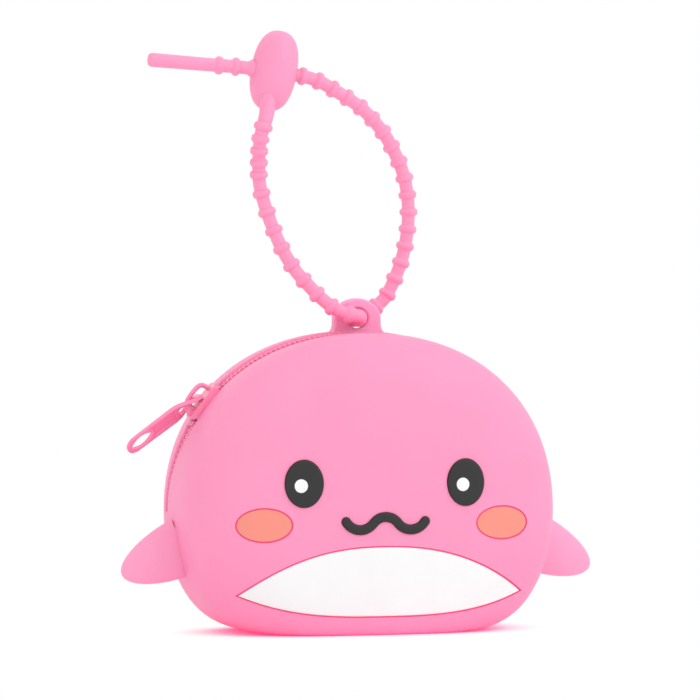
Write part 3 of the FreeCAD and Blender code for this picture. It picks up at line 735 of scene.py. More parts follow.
def front_skin(cutters):
    bm = body_form()
    split(bm, (0, -LIP_Y, 0), (0, 1, 0), clear=True)
    thicken(bm)
    piece = dress(mesh_object(bm, "front_skin", SKIN_SHARP), PINK, "pink_silicone", "front_shell")
    # The pockets' walls take the painted groove shade.
    for cutter in cutters:
        cutter.data.materials.append(GROOVE_SHADE)
    carved(piece, cutters)
    piece.data.set_sharp_from_angle(angle=math.radians(SKIN_SHARP))
    smooth_skin(piece)
    return flex(piece)


def rear_skin():
    bm = body_form()
    split(bm, (0, -LIP_Y, 0), (0, -1, 0), clear=True)
    split(bm, (0, LIP_Y, 0), (0, 1, 0))
    split(bm, (0, 0, MOUTH_END_Z), (0, 0, 1))
    gap = []
    for face in bm.faces:
        middle = face.calc_center_median()
        if abs(middle.y) < LIP_Y and middle.z > MOUTH_END_Z:
            gap.append(face)
    bmesh.ops.delete(bm, geom=gap, context="FACES")
    thicken(bm)
    piece = mesh_object(bm, "rear_skin", SKIN_SHARP)
    smooth_skin(piece)
    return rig.ride(dress(piece, PINK, "pink_silicone", "rear_shell"), "rear_body")


# Face, modelled flat with each point's rise in Y and then laid on the skin

EYE = (22.35, 40.35)
EYE_SIZE = (10.4, 12.5)
PUPIL_SHIFT = (-1.0, -0.55)
PUPIL_SIZE = (3.8, 3.8)
CHEEK = (32.9, 29.5)
CHEEK_SIZE = (14.4, 8.4)
INLAY_DEPTH = 0.3
POCKET_DEPTH = 0.25
EYE_RISE = 0.7
EYE_ROUND = 0.5
PUPIL_RISE = 0.72
PUPIL_ROUND = 0.2
CHEEK_RISE = -0.03
CHEEK_ROUND = 0.2
CLEAR_ABOVE = 3.0
TIGHT_GROOVE = 0.12
WIDE_GROOVE = 0.42
OVAL_SIDES = 72
OVAL_EDGE_STEPS = 5
TOP_INSETS = (0.3, 0.5, 0.7, 0.86, 0.97)    # shares of the way from the rounded edge to the middle
POCKET_INSETS = (0.0, 0.3, 0.6, 0.9)


def lay_on_face(bm):
    for vert in bm.verts:
        vert.co.y = face_y(vert.co.x, vert.co.z, vert.co.y)
    face_outward(bm)


def oval(centre, size, rings):
    """An upright oval through rings given as inset from its edge and rise, closed at both ends."""
    bm = bmesh.new()
    upright = Matrix.Rotation(math.radians(90), 4, "X")
    first = bmesh.ops.create_circle(bm, segments=OVAL_SIDES, radius=1, matrix=upright)["verts"]
    ways = [vert.co.copy() for vert in first]
    places = []
    for inset, rise in rings:
        across = size[0] / 2 - inset
        upward = size[1] / 2 - inset
        places.append([(centre[0] + way.x * across, rise, centre[1] + way.z * upward) for way in ways])
    loft(bm, first, bm.edges[:], places)
    return bm


def rounded_edge(rise, radius, steps):
    """Insets and rises along an inlay's rounded edge, from its wall to its top."""
    turns = [math.radians(90 * step / steps) for step in range(steps + 1)]
    return [(radius * (1 - math.cos(turn)), rise - radius * (1 - math.sin(turn))) for turn in turns]


def pillow_rings(size, rise, round_edge):
    """Rings of an inlay: a straight wall, a rounded edge and an even top."""
    rings = [(0.0, -INLAY_DEPTH)] + rounded_edge(rise, round_edge, OVAL_EDGE_STEPS)
    reach = min(size) / 2
    for share in TOP_INSETS:
        rings.append((round_edge + (reach - round_edge) * share, rise))
    return rings


def oval_inlay(node, centre, size, rise, round_edge, material, slot):
    """An inlay that is named for the node that it stands for."""
    bm = oval(centre, size, pillow_rings(size, rise, round_edge))
    lay_on_face(bm)
    return flex(dress(mesh_object(bm, node + "_inlay", SMALL_SHARP), material, slot, node))


def oval_cutter(name, centre, size, groove):
    grown = (size[0] + 2 * groove, size[1] + 2 * groove)
    insets = [min(grown) / 2 * share for share in POCKET_INSETS]
    rings = [(inset, -POCKET_DEPTH) for inset in reversed(insets)]
    rings += [(inset, CLEAR_ABOVE) for inset in insets]
    bm = oval(centre, grown, rings)
    lay_on_face(bm)
    return mesh_object(bm, name, SMALL_SHARP)


# Smile: two hanging arcs and a crest between them

SMILE_DIP = (7.0, 28.0)
SMILE_DIP_RADIUS = 4.6
SMILE_CREST_Z = 31.4
SMILE_END_TURN = 58.5
SMILE_STROKE = 2.45
SMILE_RISE = 0.7
SMILE_ROUND = 0.45
SMILE_EDGE_STEPS = 4
DIP_STEPS = 22
CREST_STEPS = 20
END_STEPS = 14


def smile(stroke, profile):
    """A stroke along the smile, from a profile of places across it and rises there."""
    drop = SMILE_CREST_Z - SMILE_DIP[1]
    both = (SMILE_DIP[0] ** 2 + drop ** 2) / (2 * drop)
    crest_radius = both - SMILE_DIP_RADIUS
    dips = [Vector((side * SMILE_DIP[0], 0, SMILE_DIP[1] + SMILE_DIP_RADIUS)) for side in (-1, 1)]
    crest = Vector((0, 0, SMILE_CREST_Z - crest_radius))
    join_turn = math.degrees(math.asin(SMILE_DIP[0] / both))
    bm = bmesh.new()
    start = math.radians(SMILE_END_TURN)
    outward = Vector((-math.sin(start), 0, -math.cos(start)))
    end = dips[0] + outward * SMILE_DIP_RADIUS
    verts = []
    for across, rise in profile:
        place = end + outward * (across * stroke / 2)
        verts.append(bm.verts.new((place.x, rise, place.z)))
    edges = [bm.edges.new(pair) for pair in zip(verts, verts[1:])]
    half = len(verts) // 2
    round_end(bm, edges[:half], end)
    strip = verts + edges
    for centre, turn, steps in (
            (dips[0], -(SMILE_END_TURN + join_turn), DIP_STEPS), (crest, 2 * join_turn, CREST_STEPS),
            (dips[1], -(SMILE_END_TURN + join_turn), DIP_STEPS)):
        strip = bmesh.ops.spin(
            bm, geom=strip, cent=centre, axis=(0, 1, 0), angle=math.radians(turn), steps=steps,
            use_merge=False)["geom_last"]
    last = [item for item in strip if isinstance(item, bmesh.types.BMEdge)]
    far_end = Vector((-end.x, 0, end.z))
    inner = [edge for edge in last if far_end_half(edge, dips[1])]
    round_end(bm, inner, far_end)
    bmesh.ops.remove_doubles(bm, verts=bm.verts, dist=0.002)
    bmesh.ops.holes_fill(bm, edges=[edge for edge in bm.edges if edge.is_boundary])
    return bm


def far_end_half(edge, dip):
    """Whether an edge of the last profile lies on its half away from the dip's centre."""
    middle = (edge.verts[0].co + edge.verts[1].co) / 2
    return Vector((middle.x - dip.x, 0, middle.z - dip.z)).length > SMILE_DIP_RADIUS


def round_end(bm, edges, centre):
    """Half a turn of half the stroke's profile about its middle."""
    verts = {vert for edge in edges for vert in edge.verts}
    bmesh.ops.spin(
        bm, geom=list(verts) + list(edges), cent=centre, axis=(0, 1, 0),
        angle=math.radians(-180), steps=END_STEPS, use_merge=False)


def smile_profile(rise, round_edge):
    """Places from -1 to 1 across the stroke and rises there, with rounded edges and a closed back."""
    half = SMILE_STROKE / 2
    edge = rounded_edge(rise, round_edge, SMILE_EDGE_STEPS)
    quarter = [(1 - inset / half, height) for inset, height in edge]
    left = [(-1.0, -INLAY_DEPTH)] + [(-across, height) for across, height in quarter]
    right = [(across, height) for across, height in reversed(quarter)] + [(1.0, -INLAY_DEPTH)]
    return left + [(0.0, rise)] + right


# Belly patch: a lens between two arches

BELLY_TIP = (39.0, 11.0)
BELLY_TOP_Z = 23.35
BELLY_BOTTOM_Z = 5.2
BELLY_TOP_POWER = 2.35
BELLY_BOTTOM_POWER = 2.9
BELLY_COLUMNS = 72
BELLY_ROWS = 14
BELLY_EDGE = 0.4            # width of its rounded edge
BELLY_EDGE_DROP = 0.15
BELLY_SINK = 0.04


def arch_height(x, tip, crown_z, power):
    """Z at a place along the arch that runs through both tips and a crown in the middle."""
    return crown_z + (tip[1] - crown_z) * min(1.0, abs(x) / tip[0]) ** power


def lens(grow, rise_at):
    """A lens-shaped sheet whose rise depends on how near its edge a point lies."""
    tip = (BELLY_TIP[0] + 2 * grow, BELLY_TIP[1])
    bm = bmesh.new()
    bmesh.ops.create_grid(bm, x_segments=BELLY_COLUMNS, y_segments=BELLY_ROWS, size=1)
    for vert in bm.verts:
        across = math.sin(vert.co.x * math.pi / 2)
        upward = math.sin(vert.co.y * math.pi / 2)
        x = tip[0] * across
        top = arch_height(x, tip, BELLY_TOP_Z + grow, BELLY_TOP_POWER)
        bottom = arch_height(x, tip, BELLY_BOTTOM_Z - grow, BELLY_BOTTOM_POWER)
        z = (top + bottom) / 2 + upward * (top - bottom) / 2
        vert.co = Vector((x, rise_at(min(top - z, z - bottom)), z))
    bmesh.ops.remove_doubles(bm, verts=bm.verts, dist=0.001)
    return bm


def walled(bm, depth):
    """Closes a sheet that was laid on the face, with a wall back to a depth."""
    face_outward(bm)
    if sum(face.normal.y * face.calc_area() for face in bm.faces) > 0:
        bmesh.ops.reverse_faces(bm, faces=bm.faces)
    bmesh.ops.solidify(bm, geom=bm.faces[:], thickness=depth)
    return bm


def belly_patch():
    def rise_at(inset):
        near = min(max(inset / BELLY_EDGE, 0), 1)
        return -BELLY_SINK - BELLY_EDGE_DROP * (1 - math.sqrt(1 - (1 - near) ** 2))

    bm = lens(0.0, rise_at)
    lay_on_face(bm)
    walled(bm, INLAY_DEPTH)
    return flex(dress(mesh_object(bm, "belly_inlay", SMALL_SHARP), WHITE, "white_silicone", "belly_patch"))


def belly_cutter():
    bm = lens(WIDE_GROOVE, lambda inset: -POCKET_DEPTH)
    lay_on_face(bm)
    extrude_by(bm, bm.faces[:], (0, -2 * CLEAR_ABOVE, 0))
    face_outward(bm)
    return mesh_object(bm, "belly_cutter", SMALL_SHARP)


def smile_inlay():
    bm = smile(SMILE_STROKE, smile_profile(SMILE_RISE, SMILE_ROUND))
    lay_on_face(bm)
    return flex(dress(mesh_object(bm, "smile_inlay", SMALL_SHARP), BLACK, "black_silicone", "mouth"))


def smile_cutter():
    profile = [(-1.0, -POCKET_DEPTH), (-1.0, CLEAR_ABOVE), (0.0, CLEAR_ABOVE), (1.0, CLEAR_ABOVE),
               (1.0, -POCKET_DEPTH)]
    bm = smile(SMILE_STROKE + 2 * TIGHT_GROOVE, profile)
    lay_on_face(bm)
    return mesh_object(bm, "smile_cutter", SMALL_SHARP)


def face():
    """All inlays, and the cutters for their pockets."""
    cutters = [belly_cutter(), smile_cutter()]
    belly_patch()
    smile_inlay()
    for name, side in (("left", -1), ("right", 1)):
        eye = (side * EYE[0], EYE[1])
        cheek = (side * CHEEK[0], CHEEK[1])
        pupil = (eye[0] + PUPIL_SHIFT[0], eye[1] + PUPIL_SHIFT[1])
        cutters.append(oval_cutter(name + "_eye_cutter", eye, EYE_SIZE, TIGHT_GROOVE))
        cutters.append(oval_cutter(name + "_cheek_cutter", cheek, CHEEK_SIZE, WIDE_GROOVE))
        oval_inlay(name + "_eye", eye, EYE_SIZE, EYE_RISE, EYE_ROUND, BLACK, "black_silicone")
        oval_inlay(name + "_pupil", pupil, PUPIL_SIZE, PUPIL_RISE, PUPIL_ROUND, WHITE, "white_silicone")
        oval_inlay(name + "_cheek", cheek, CHEEK_SIZE, CHEEK_RISE, CHEEK_ROUND, CORAL, "coral_silicone")
    return cutters


# Zip

def on_slider(bm):
    """Carries a shape made at the top of the rim, with the rim's centre at zero, to the slider's place."""
    turn = Matrix.Rotation(math.radians(90 - SLIDER_ANGLE), 3, "Y")
    bmesh.ops.rotate(bm, cent=(0, 0, 0), matrix=turn, verts=bm.verts)
    bmesh.ops.translate(bm, vec=RIM_CENTRE, verts=bm.verts)


def mouth_places(spacing):
    """Placings at even spacing along the mouth's outline, from right to left: Z points out of the skin."""
    fine_steps = 2400
    places = []
    walked = 0.0
    last = BODY_CENTRE + Vector((BODY_HALF_WIDTH, 0, 0))
    for step in range(fine_steps):
        turn = math.pi * (step + 0.5) / fine_steps
        across = math.copysign(abs(math.cos(turn)) ** (2 / OUTLINE_POWER), math.cos(turn))
        upward = math.sin(turn) ** (2 / OUTLINE_POWER)
        point = BODY_CENTRE + Vector((BODY_HALF_WIDTH * across, 0, BODY_RISE * upward))
        walked += (point - last).length
        last = point
        if walked >= spacing * (len(places) + 0.5):
            out = skin_normal(point)
            along = Vector((0, 1, 0)).cross(out)
            turned = Matrix((along, (0, 1, 0), out)).transposed().to_4x4()
            middle = Vector((point.x, mouth_middle(point), point.z))
            places.append(Matrix.Translation(middle) @ turned)
    return places


def zip_tape(name, side):
    """One woven tape along the mouth."""
    bm = bmesh.new()
    layer = bm.loops.layers.uv.new("UVMap")
    section = [(side * y, -TAPE_DEPTH) for y in TAPE_EDGES]
    section += [(side * y, -TAPE_DEPTH - TAPE_THICKNESS) for y in reversed(TAPE_EDGES)]
    verts = [bm.verts.new((0, y, z)) for y, z in section]
    edges = [bm.edges.new(pair) for pair in zip(verts, verts[1:] + verts[:1])]
    places = mouth_places(TAPE_STEP)
    run_on = Matrix.Translation((TAPE_END_REACH, 0, 0))
    places = [places[0] @ run_on] + places + [places[-1] @ run_on.inverted()]
    rings = []
    for count, place in enumerate(places):
        past_slider = min(count, len(places) - 1 - count) < TAPE_END_STEPS
        edge = TAPE_END_EDGE if past_slider else TAPE_EDGES[0]
        rings.append([
            place @ Vector((0, side * edge if abs(y) == TAPE_EDGES[0] else y, z)) for y, z in section])
    length = {}
    for count, ring in enumerate(loft(bm, verts, edges, rings)):
        for vert in ring:
            length[vert] = count * TAPE_STEP
    face_outward(bm)
    for tape_face in bm.faces:
        for loop in tape_face.loops:
            loop[layer].uv = (length[loop.vert], loop.vert.co.y)
    return dress(mesh_object(bm, name + "_tape", PLATE_SHARP), TAPE, "zip_tape", name + "_zip_tape")


def tooth_mesh():
    """One tooth with a rounded back, from the tape up."""
    height = TAPE_DEPTH - TOOTH_DEPTH
    bm = bmesh.new()
    bmesh.ops.create_cube(bm, size=1)
    bmesh.ops.scale(bm, vec=(TOOTH_WIDTH, TOOTH_SPAN, height), verts=bm.verts)
    upper = [edge for edge in bm.edges if all(vert.co.z > 0 for vert in edge.verts)]
    back = [edge for edge in upper if edge.verts[0].co.x * edge.verts[1].co.x > 0]
    round_edges(bm, back, TOOTH_WIDTH * TOOTH_ROUND, 3)
    bmesh.ops.translate(bm, vec=(0, 0, -TOOTH_DEPTH - height / 2), verts=bm.verts)
    mesh = bpy.data.meshes.new("tooth")
    bm.to_mesh(mesh)
    bm.free()
    return mesh


def zip_teeth(name, side, first):
    """One row of teeth on its tape: every second place along the mouth."""
    bm = bmesh.new()
    single = tooth_mesh()
    count = len(single.vertices)
    places = mouth_places(TOOTH_PITCH / 2)[2 * END_TEETH:-2 * END_TEETH]
    for place in places[first::2]:
        bm.from_mesh(single)
        bm.verts.ensure_lookup_table()
        bmesh.ops.transform(
            bm, matrix=place @ Matrix.Translation((0, side * TOOTH_MIDDLE, 0)), verts=bm.verts[-count:])
    bpy.data.meshes.remove(single)
    return dress(mesh_object(bm, name + "_teeth", SMALL_SHARP), TEETH, "zip_teeth", name + "_zip_coil")


def zip_stop(name, side, width, angle, node):
    """A small clamped stop over the teeth at an angle on the rim."""
    bm = bmesh.new()
    bmesh.ops.create_cube(bm, size=1)
    bmesh.ops.scale(bm, vec=(STOP_LENGTH, width, TAPE_DEPTH), verts=bm.verts)
    round_edges(bm, bm.edges[:], STOP_ROUND, 2)

    def turned_from(place):
        away = place.translation - RIM_CENTRE
        return abs(math.degrees(math.atan2(away.z, away.x)) - angle)

    place = min(mouth_places(TOOTH_PITCH), key=turned_from)
    bmesh.ops.transform(
        bm, matrix=place @ Matrix.Translation((0, side, -TAPE_DEPTH / 2)), verts=bm.verts)
    return dress(mesh_object(bm, name, PLATE_SHARP), TEETH, "zip_teeth", node)


def slab(bm, size, place, corner):
    """A plate with rounded corners."""
    verts = bmesh.ops.create_cube(bm, size=1)["verts"]
    bmesh.ops.scale(bm, vec=size, verts=verts)
    edges = {edge for vert in verts for edge in vert.link_edges}
    upright = [edge for edge in edges if abs(edge.verts[0].co.z - edge.verts[1].co.z) > size[2] / 2]
    made = round_edges(bm, upright, corner, 5)
    corners = {vert for plate_face in made["faces"] for vert in plate_face.verts}
    bmesh.ops.translate(bm, vec=place, verts=list(corners))


CROWN_ROUTE = [
    (3.7, 0, -0.6), (3.7, 0, 1.6), (2.6, 0, 2.8), (-1.2, 0, 2.95), (-3.0, 0, 2.6), (-3.9, 0, 1.5),
    (-4.0, 0, -0.6)]
CROWN_HALF_THICKNESS = 0.65
CROWN_HALF_WIDTH = 0.8
CROWN_FOOT_HALF = 1.75
CROWN_FOOT_START = 0.72     # share of the route past which the bar widens to its foot
CROWN_STEPS = 6
CROWN_SIDES = 14


def crown(bm):
    """The loop for the pull tab: a bar that rises from the plate, runs back and falls to a wide foot."""
    line = line_points(CROWN_ROUTE, CROWN_STEPS)
    sizes = []
    for count in range(len(line)):
        share = max(0.0, count / (len(line) - 1) - CROWN_FOOT_START) / (1 - CROWN_FOOT_START)
        half = CROWN_HALF_THICKNESS + (CROWN_FOOT_HALF - CROWN_HALF_THICKNESS) * share
        sizes.append((CROWN_HALF_WIDTH, half))
    sweep(bm, [point + Vector((0, 0, PLATE_TOP)) for point in line], sizes, CROWN_SIDES)


def zip_slider():
    """Two plates, a post, side lips over the closed half, and the crown."""
    bm = bmesh.new()
    plate_z = PLATE_TOP - PLATE_THICKNESS / 2
    for z in (plate_z, LOWER_PLATE_Z):
        slab(bm, (SLIDER_LENGTH, SLIDER_WIDTH, PLATE_THICKNESS), (0, 0, z), PLATE_CORNER)
    slab(bm, (*POST_SIZE, plate_z - LOWER_PLATE_Z), (POST_X, 0, (plate_z + LOWER_PLATE_Z) / 2), POST_CORNER)
    for side in (-1, 1):
        for size, x, inset, depth, corner in SLIDER_LIPS:
            slab(bm, size, (x, side * (SLIDER_WIDTH / 2 - inset), PLATE_TOP - depth), corner)
    crown(bm)
    face_outward(bm)
    on_slider(bm)
    piece = rounded(mesh_object(bm, "zip_slider", PLATE_SHARP), SLIDER_ROUND, 2, PLATE_SHARP)
    dress(piece, PAINT, "painted_zip_metal", "slider_body")
    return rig.ride(piece, "slider")


TAB_LENGTH = 23.8
TAB_WIDTH = 5.8
TAB_THICKNESS = 1.2
TAB_THIN = 0.3              # share by which the tab thins towards its round end
TAB_BORDER = 0.95
TAB_RECESS = 0.4
TAB_TWIST = 43.0
TAB_NECK = 8.0
NECK_CUTS = 6
TAB_BAR = 0.75              # half length of the bar that hangs in the crown
TAB_SLOT = (0.75, 6.8, 1.75)
TAB_WEB = (7.6, 14.9)
TAB_HOLE = (15.4, 22.7, 2.05)
HOLE_POWER = 0.8            # below 1 the hole is fuller towards its points
TAB_CUT = 3.0               # half depth of the cuts through the tab
TAB_ROUND = 0.28


def tab_outline(bm, start, end, half_width, z):
    """A strip from a square end to a round end, as a face."""
    sides = 16
    verts = [bm.verts.new((start, -half_width, z))]
    for step in range(sides + 1):
        turn = math.radians(-90 + 180 * step / sides)
        x = end - half_width + half_width * math.cos(turn)
        verts.append(bm.verts.new((x, half_width * math.sin(turn), z)))
    verts.append(bm.verts.new((start, half_width, z)))
    return bm.faces.new(verts)


def raise_face(bm, flat, height):
    extrude_by(bm, [flat], (0, 0, height))
    face_outward(bm)


def tab_place(bm):
    """From the tab's own axes, along X from its pivot, to where it hangs on the slider."""
    bmesh.ops.rotate(
        bm, cent=(0, 0, 0), matrix=Matrix.Rotation(math.radians(180 + TAB_LIFT), 3, "Y"), verts=bm.verts)
    bmesh.ops.translate(bm, vec=(0, 0, TAB_PIVOT_Z), verts=bm.verts)
    on_slider(bm)


def twist_neck(bm):
    """Thins the tab along its length, and turns it about that length, all of the turn within its neck."""
    for step in range(1, NECK_CUTS + 1):
        split(bm, (TAB_NECK * step / NECK_CUTS, 0, 0), (1, 0, 0))
    for vert in bm.verts:
        past_neck = max(0.0, vert.co.x - TAB_NECK) / (TAB_LENGTH - TAB_NECK)
        vert.co.z *= 1 - TAB_THIN * past_neck
        share = min(max(vert.co.x / TAB_NECK, 0.0), 1.0)
        turn = math.radians(TAB_TWIST) * share * share * (3 - 2 * share)
        vert.co = Matrix.Rotation(turn, 3, "X") @ vert.co


def slot_shape(bm):
    raise_face(bm, tab_outline(bm, *TAB_SLOT, -TAB_CUT), 2 * TAB_CUT)


def hole_shape(bm):
    """An almond: two arcs that meet in points along the tab."""
    near, far, half = TAB_HOLE
    steps = 12
    verts = []
    for side in (-1, 1):
        for step in range(steps):
            share = step / steps
            x = near + (far - near) * share if side < 0 else far - (far - near) * share
            bulge = math.sin(math.pi * share) ** HOLE_POWER
            verts.append(bm.verts.new((x, side * half * bulge, -TAB_CUT)))
    raise_face(bm, bm.faces.new(verts), 2 * TAB_CUT)


def recess_shape(bm, side):
    """The sunk web between the tab's raised borders, on one face."""
    start, end = TAB_WEB
    half = TAB_WIDTH / 2 - TAB_BORDER
    floor = side * (TAB_THICKNESS / 2 - TAB_RECESS)
    corners = ((start, -half), (end, -half), (end, half), (start, half))
    verts = [bm.verts.new((x, y, floor)) for x, y in corners]
    raise_face(bm, bm.faces.new(verts), side * TAB_CUT)


def tab_cutter(name, shape):
    bm = bmesh.new()
    shape(bm)
    return mesh_object(bm, name, PLATE_SHARP)


def pull_tab():
    """The flat pull tab with its fork, sunk web and almond hole."""
    bm = bmesh.new()
    raise_face(bm, tab_outline(bm, -TAB_BAR, TAB_LENGTH, TAB_WIDTH / 2, -TAB_THICKNESS / 2), TAB_THICKNESS)
    blank = mesh_object(bm, "tab_blank", PLATE_SHARP)
    cutters = [tab_cutter("tab_slot_cutter", slot_shape), tab_cutter("tab_hole_cutter", hole_shape)]
    for count, side in enumerate((-1, 1)):
        cutters.append(tab_cutter(f"tab_web_cutter_{count}", lambda bm, side=side: recess_shape(bm, side)))
    carved(blank, cutters)
    bm = bmesh.new()
    bm.from_mesh(blank.data)
    bpy.data.objects.remove(blank)
    bmesh.ops.scale(bm, vec=(1 / MM, 1 / MM, 1 / MM), verts=bm.verts)
    twist_neck(bm)
    tab_place(bm)
    piece = rounded(mesh_object(bm, "zip_tab", PLATE_SHARP), TAB_ROUND, 3, PLATE_SHARP)
    dress(piece, PAINT, "painted_zip_metal", "pull_tab")
    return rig.ride(piece, "tab")


def zip_closure():
    for name, side, first in (("front", -1, 0), ("rear", 1, 1)):
        parts = [
            zip_tape(name, side), zip_teeth(name, side, first),
            zip_stop(
                name + "_end_stop", side * STOP_SHIFT, STOP_WIDTH, TOP_STOP_ANGLE, name + "_top_stop")]
        for part in parts:
            if side < 0:
                flex(part)
            else:
                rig.ride(part, "rear_body")
    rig.ride(zip_stop("lower_stop", 0, LOWER_STOP_WIDTH, LOWER_STOP_ANGLE, "bottom_stop"), "rear_body")
    zip_slider()
    pull_tab()


# Fins and lug

FIN_ROOT = Vector((50.1, -1.0, 22.9))
FIN_FALL = 19.6
FIN_LENGTH = 17.3
FIN_HALF_HEIGHT = 7.9
FIN_HALF_THICKNESS = 3.3
FIN_TAPER = 0.15
FIN_THIN = 0.35
FIN_DROOP = 0.06
FIN_PLUMP = 0.8             # below 1 the fin keeps its thickness nearer to the tip
FIN_END_TURN = 89.5         # degrees of the quarter round to its tip,
FIN_END_SIZE = 1e-4         # which keeps a little size
FIN_STEPS = 26
FIN_SIDES = 40


def fin(name, side):
    """A pillowed flipper: an oval that shrinks to a round tip."""
    bm = bmesh.new()
    fall = math.radians(FIN_FALL)
    along = Vector((math.cos(fall), 0, -math.sin(fall)))
    upward = Vector((math.sin(fall), 0, math.cos(fall)))
    ring = bmesh.ops.create_circle(bm, segments=FIN_SIDES, radius=1)["verts"]
    ways = [vert.co.copy() for vert in ring]
    places = []
    for step in range(FIN_STEPS + 1):
        share = math.sin(math.radians(FIN_END_TURN * step / FIN_STEPS))
        distance = FIN_LENGTH * share
        closing = math.sqrt(1 - share ** 2 + FIN_END_SIZE)
        height = FIN_HALF_HEIGHT * (1 - FIN_TAPER * share) * closing
        thickness = FIN_HALF_THICKNESS * (1 - FIN_THIN * share) * closing ** FIN_PLUMP
        middle = FIN_ROOT + along * distance - upward * (FIN_DROOP * distance)
        places.append([
            middle + upward * (way.x * height) + Vector((0, way.y * thickness, 0)) for way in ways])
    loft(bm, ring, bm.edges[:], places)
    if side < 0:
        bmesh.ops.scale(bm, vec=(-1, 1, 1), verts=bm.verts)
    face_outward(bm)
    piece = dress(mesh_object(bm, name + "_flipper", ROUND_SHARP), FIN_PINK, "pink_silicone", name + "_fin")
    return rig.ride(piece, "rear_body")


LUG_HOLE = Vector((1.0, 4.0, 84.1))
LUG_THICKNESS = 3.4
LUG_RADIUS = 6.65
LUG_TOP_RISE = 5.4
LUG_HOLE_RADIUS = 2.75
LUG_FLARE = 1.9             # how far the foot spreads to each side,
LUG_FLARE_POWER = 4         # most of it close to the sole
LUG_SIDE = 0.66             # shares of the radius: low down, what lies further out goes to the side,
LUG_SOLE = 0.75             # and what lies lower goes to the sole
LUG_FOOT_Z = 79.6
LUG_ROUND = 0.75


def strap_lug():
    """An upright eye with a round top and a foot that flares onto the body."""
    bm = bmesh.new()
    upright = Matrix.Rotation(math.radians(90), 4, "X")
    sides = 56
    outer = bmesh.ops.create_circle(bm, segments=sides, radius=LUG_RADIUS, matrix=upright)["verts"]
    bmesh.ops.create_circle(bm, segments=sides, radius=LUG_HOLE_RADIUS, matrix=upright)
    depth = LUG_HOLE.z - LUG_FOOT_Z
    for vert in outer:
        if vert.co.z >= 0:
            vert.co.z *= LUG_TOP_RISE / LUG_RADIUS
        else:
            down = min(1.0, -vert.co.z / (LUG_SOLE * LUG_RADIUS))
            x = vert.co.x
            if abs(x) > LUG_SIDE * LUG_RADIUS:
                x = math.copysign(LUG_RADIUS, x)
            spread = 1 + LUG_FLARE / LUG_RADIUS * down ** LUG_FLARE_POWER
            vert.co = Vector((x * spread, 0, -depth * down))
    bmesh.ops.bridge_loops(bm, edges=bm.edges[:])
    extrude_by(bm, bm.faces[:], (0, LUG_THICKNESS, 0))
    bmesh.ops.translate(bm, vec=LUG_HOLE, verts=bm.verts)
    face_outward(bm)
    piece = rounded(mesh_object(bm, "lug_eye", SMALL_SHARP), LUG_ROUND, 4, SMALL_SHARP)
    # The lug takes the lighter pink, which is painted light.
    dress(piece, LUG_LIT_PINK, "pink_silicone", "strap_lug")
    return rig.ride(piece, "rear_body")


# Strap

def line_points(route, steps):
    """Points along the smooth line that a route of points draws."""
    curve = bpy.data.curves.new("line", "CURVE")
    curve.dimensions = "3D"
    curve.resolution_u = steps
    spline = curve.splines.new("NURBS")
    spline.points.add(len(route) - 1)
    for point, place in zip(spline.points, route):
        point.co = (*place, 1)
    spline.order_u = 3
    spline.use_endpoint_u = True
    line = bpy.data.objects.new("line", curve)
    mesh = bpy.data.meshes.new_from_object(line)
    points = [vert.co.copy() for vert in mesh.vertices]
    bpy.data.objects.remove(line)
    bpy.data.curves.remove(curve)
    bpy.data.meshes.remove(mesh)
    return points


def sweep(bm, points, sizes, sides):
    """A closed tube through points, with half sizes along its own side way, first +Y, and across it."""
    ring = bmesh.ops.create_circle(bm, segments=sides, radius=1)["verts"]
    ways = [vert.co.copy() for vert in ring]
    edges = list({edge for vert in ring for edge in vert.link_edges})
    places = []
    side = Vector((0, 1, 0))
    for count, (point, size) in enumerate(zip(points, sizes)):
        before = points[max(count - 1, 0)]
        after = points[min(count + 1, len(points) - 1)]
        ahead = (after - before).normalized()
        side = (side - ahead * side.dot(ahead)).normalized()
        across = ahead.cross(side)
        places.append([point + side * (way.x * size[0]) + across * (way.y * size[1]) for way in ways])
    loft(bm, ring, edges, places)


def rib_places(length):
    """Distances along the strap of its ribs' middles."""
    places = [NECK_LENGTH]
    while places[-1] < length - TAIL_LENGTH:
        pitch = WIDE_PITCH if places[-1] < WIDE_END else RIB_PITCH
        places.append(places[-1] + (CLOSE_PITCH if len(places) <= CLOSE_RIBS else pitch))
    return places[:-1]


def strap_radius(distance, length, ribs):
    """The strap's radius at a distance along it: rounded ends, a swollen neck, ribs and a smooth tail."""
    left = length - distance
    radius = STRAP_CORE + NECK_SWELL * max(0.0, 1 - distance / SWELL_LENGTH)
    radius += TAIL_SWELL * max(0.0, 1 - left / TAIL_LENGTH)
    short = max(0.0, END_ROUND - min(distance, left))
    radius -= END_ROUND - math.sqrt(END_ROUND ** 2 - short ** 2)
    from_rib = min(abs(distance - place) for place in ribs)
    swell = 1 - (from_rib / RIB_HALF_WIDTH) ** 2
    return radius + RIB_RISE * math.sqrt(max(swell, 0))


def strap():
    """The ribbed strap: one ring for each point of its line."""
    points = line_points(STRAP_ROUTE, STRAP_STEPS)
    distances = [0.0]
    for before, after in zip(points, points[1:]):
        distances.append(distances[-1] + (after - before).length)
    length = distances[-1]
    ribs = rib_places(length)
    radii = [strap_radius(distance, length, ribs) for distance in distances]
    bm = bmesh.new()
    sweep(bm, points, [(radius, radius) for radius in radii], STRAP_SIDES)
    face_outward(bm)
    piece = dress(mesh_object(bm, "ribbed_strap", ROUND_SHARP), STRAP_PINK, "pink_silicone", "strap_cord")
    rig.ride(piece, "strap")
    return piece, [point * MM for point in points], length * MM


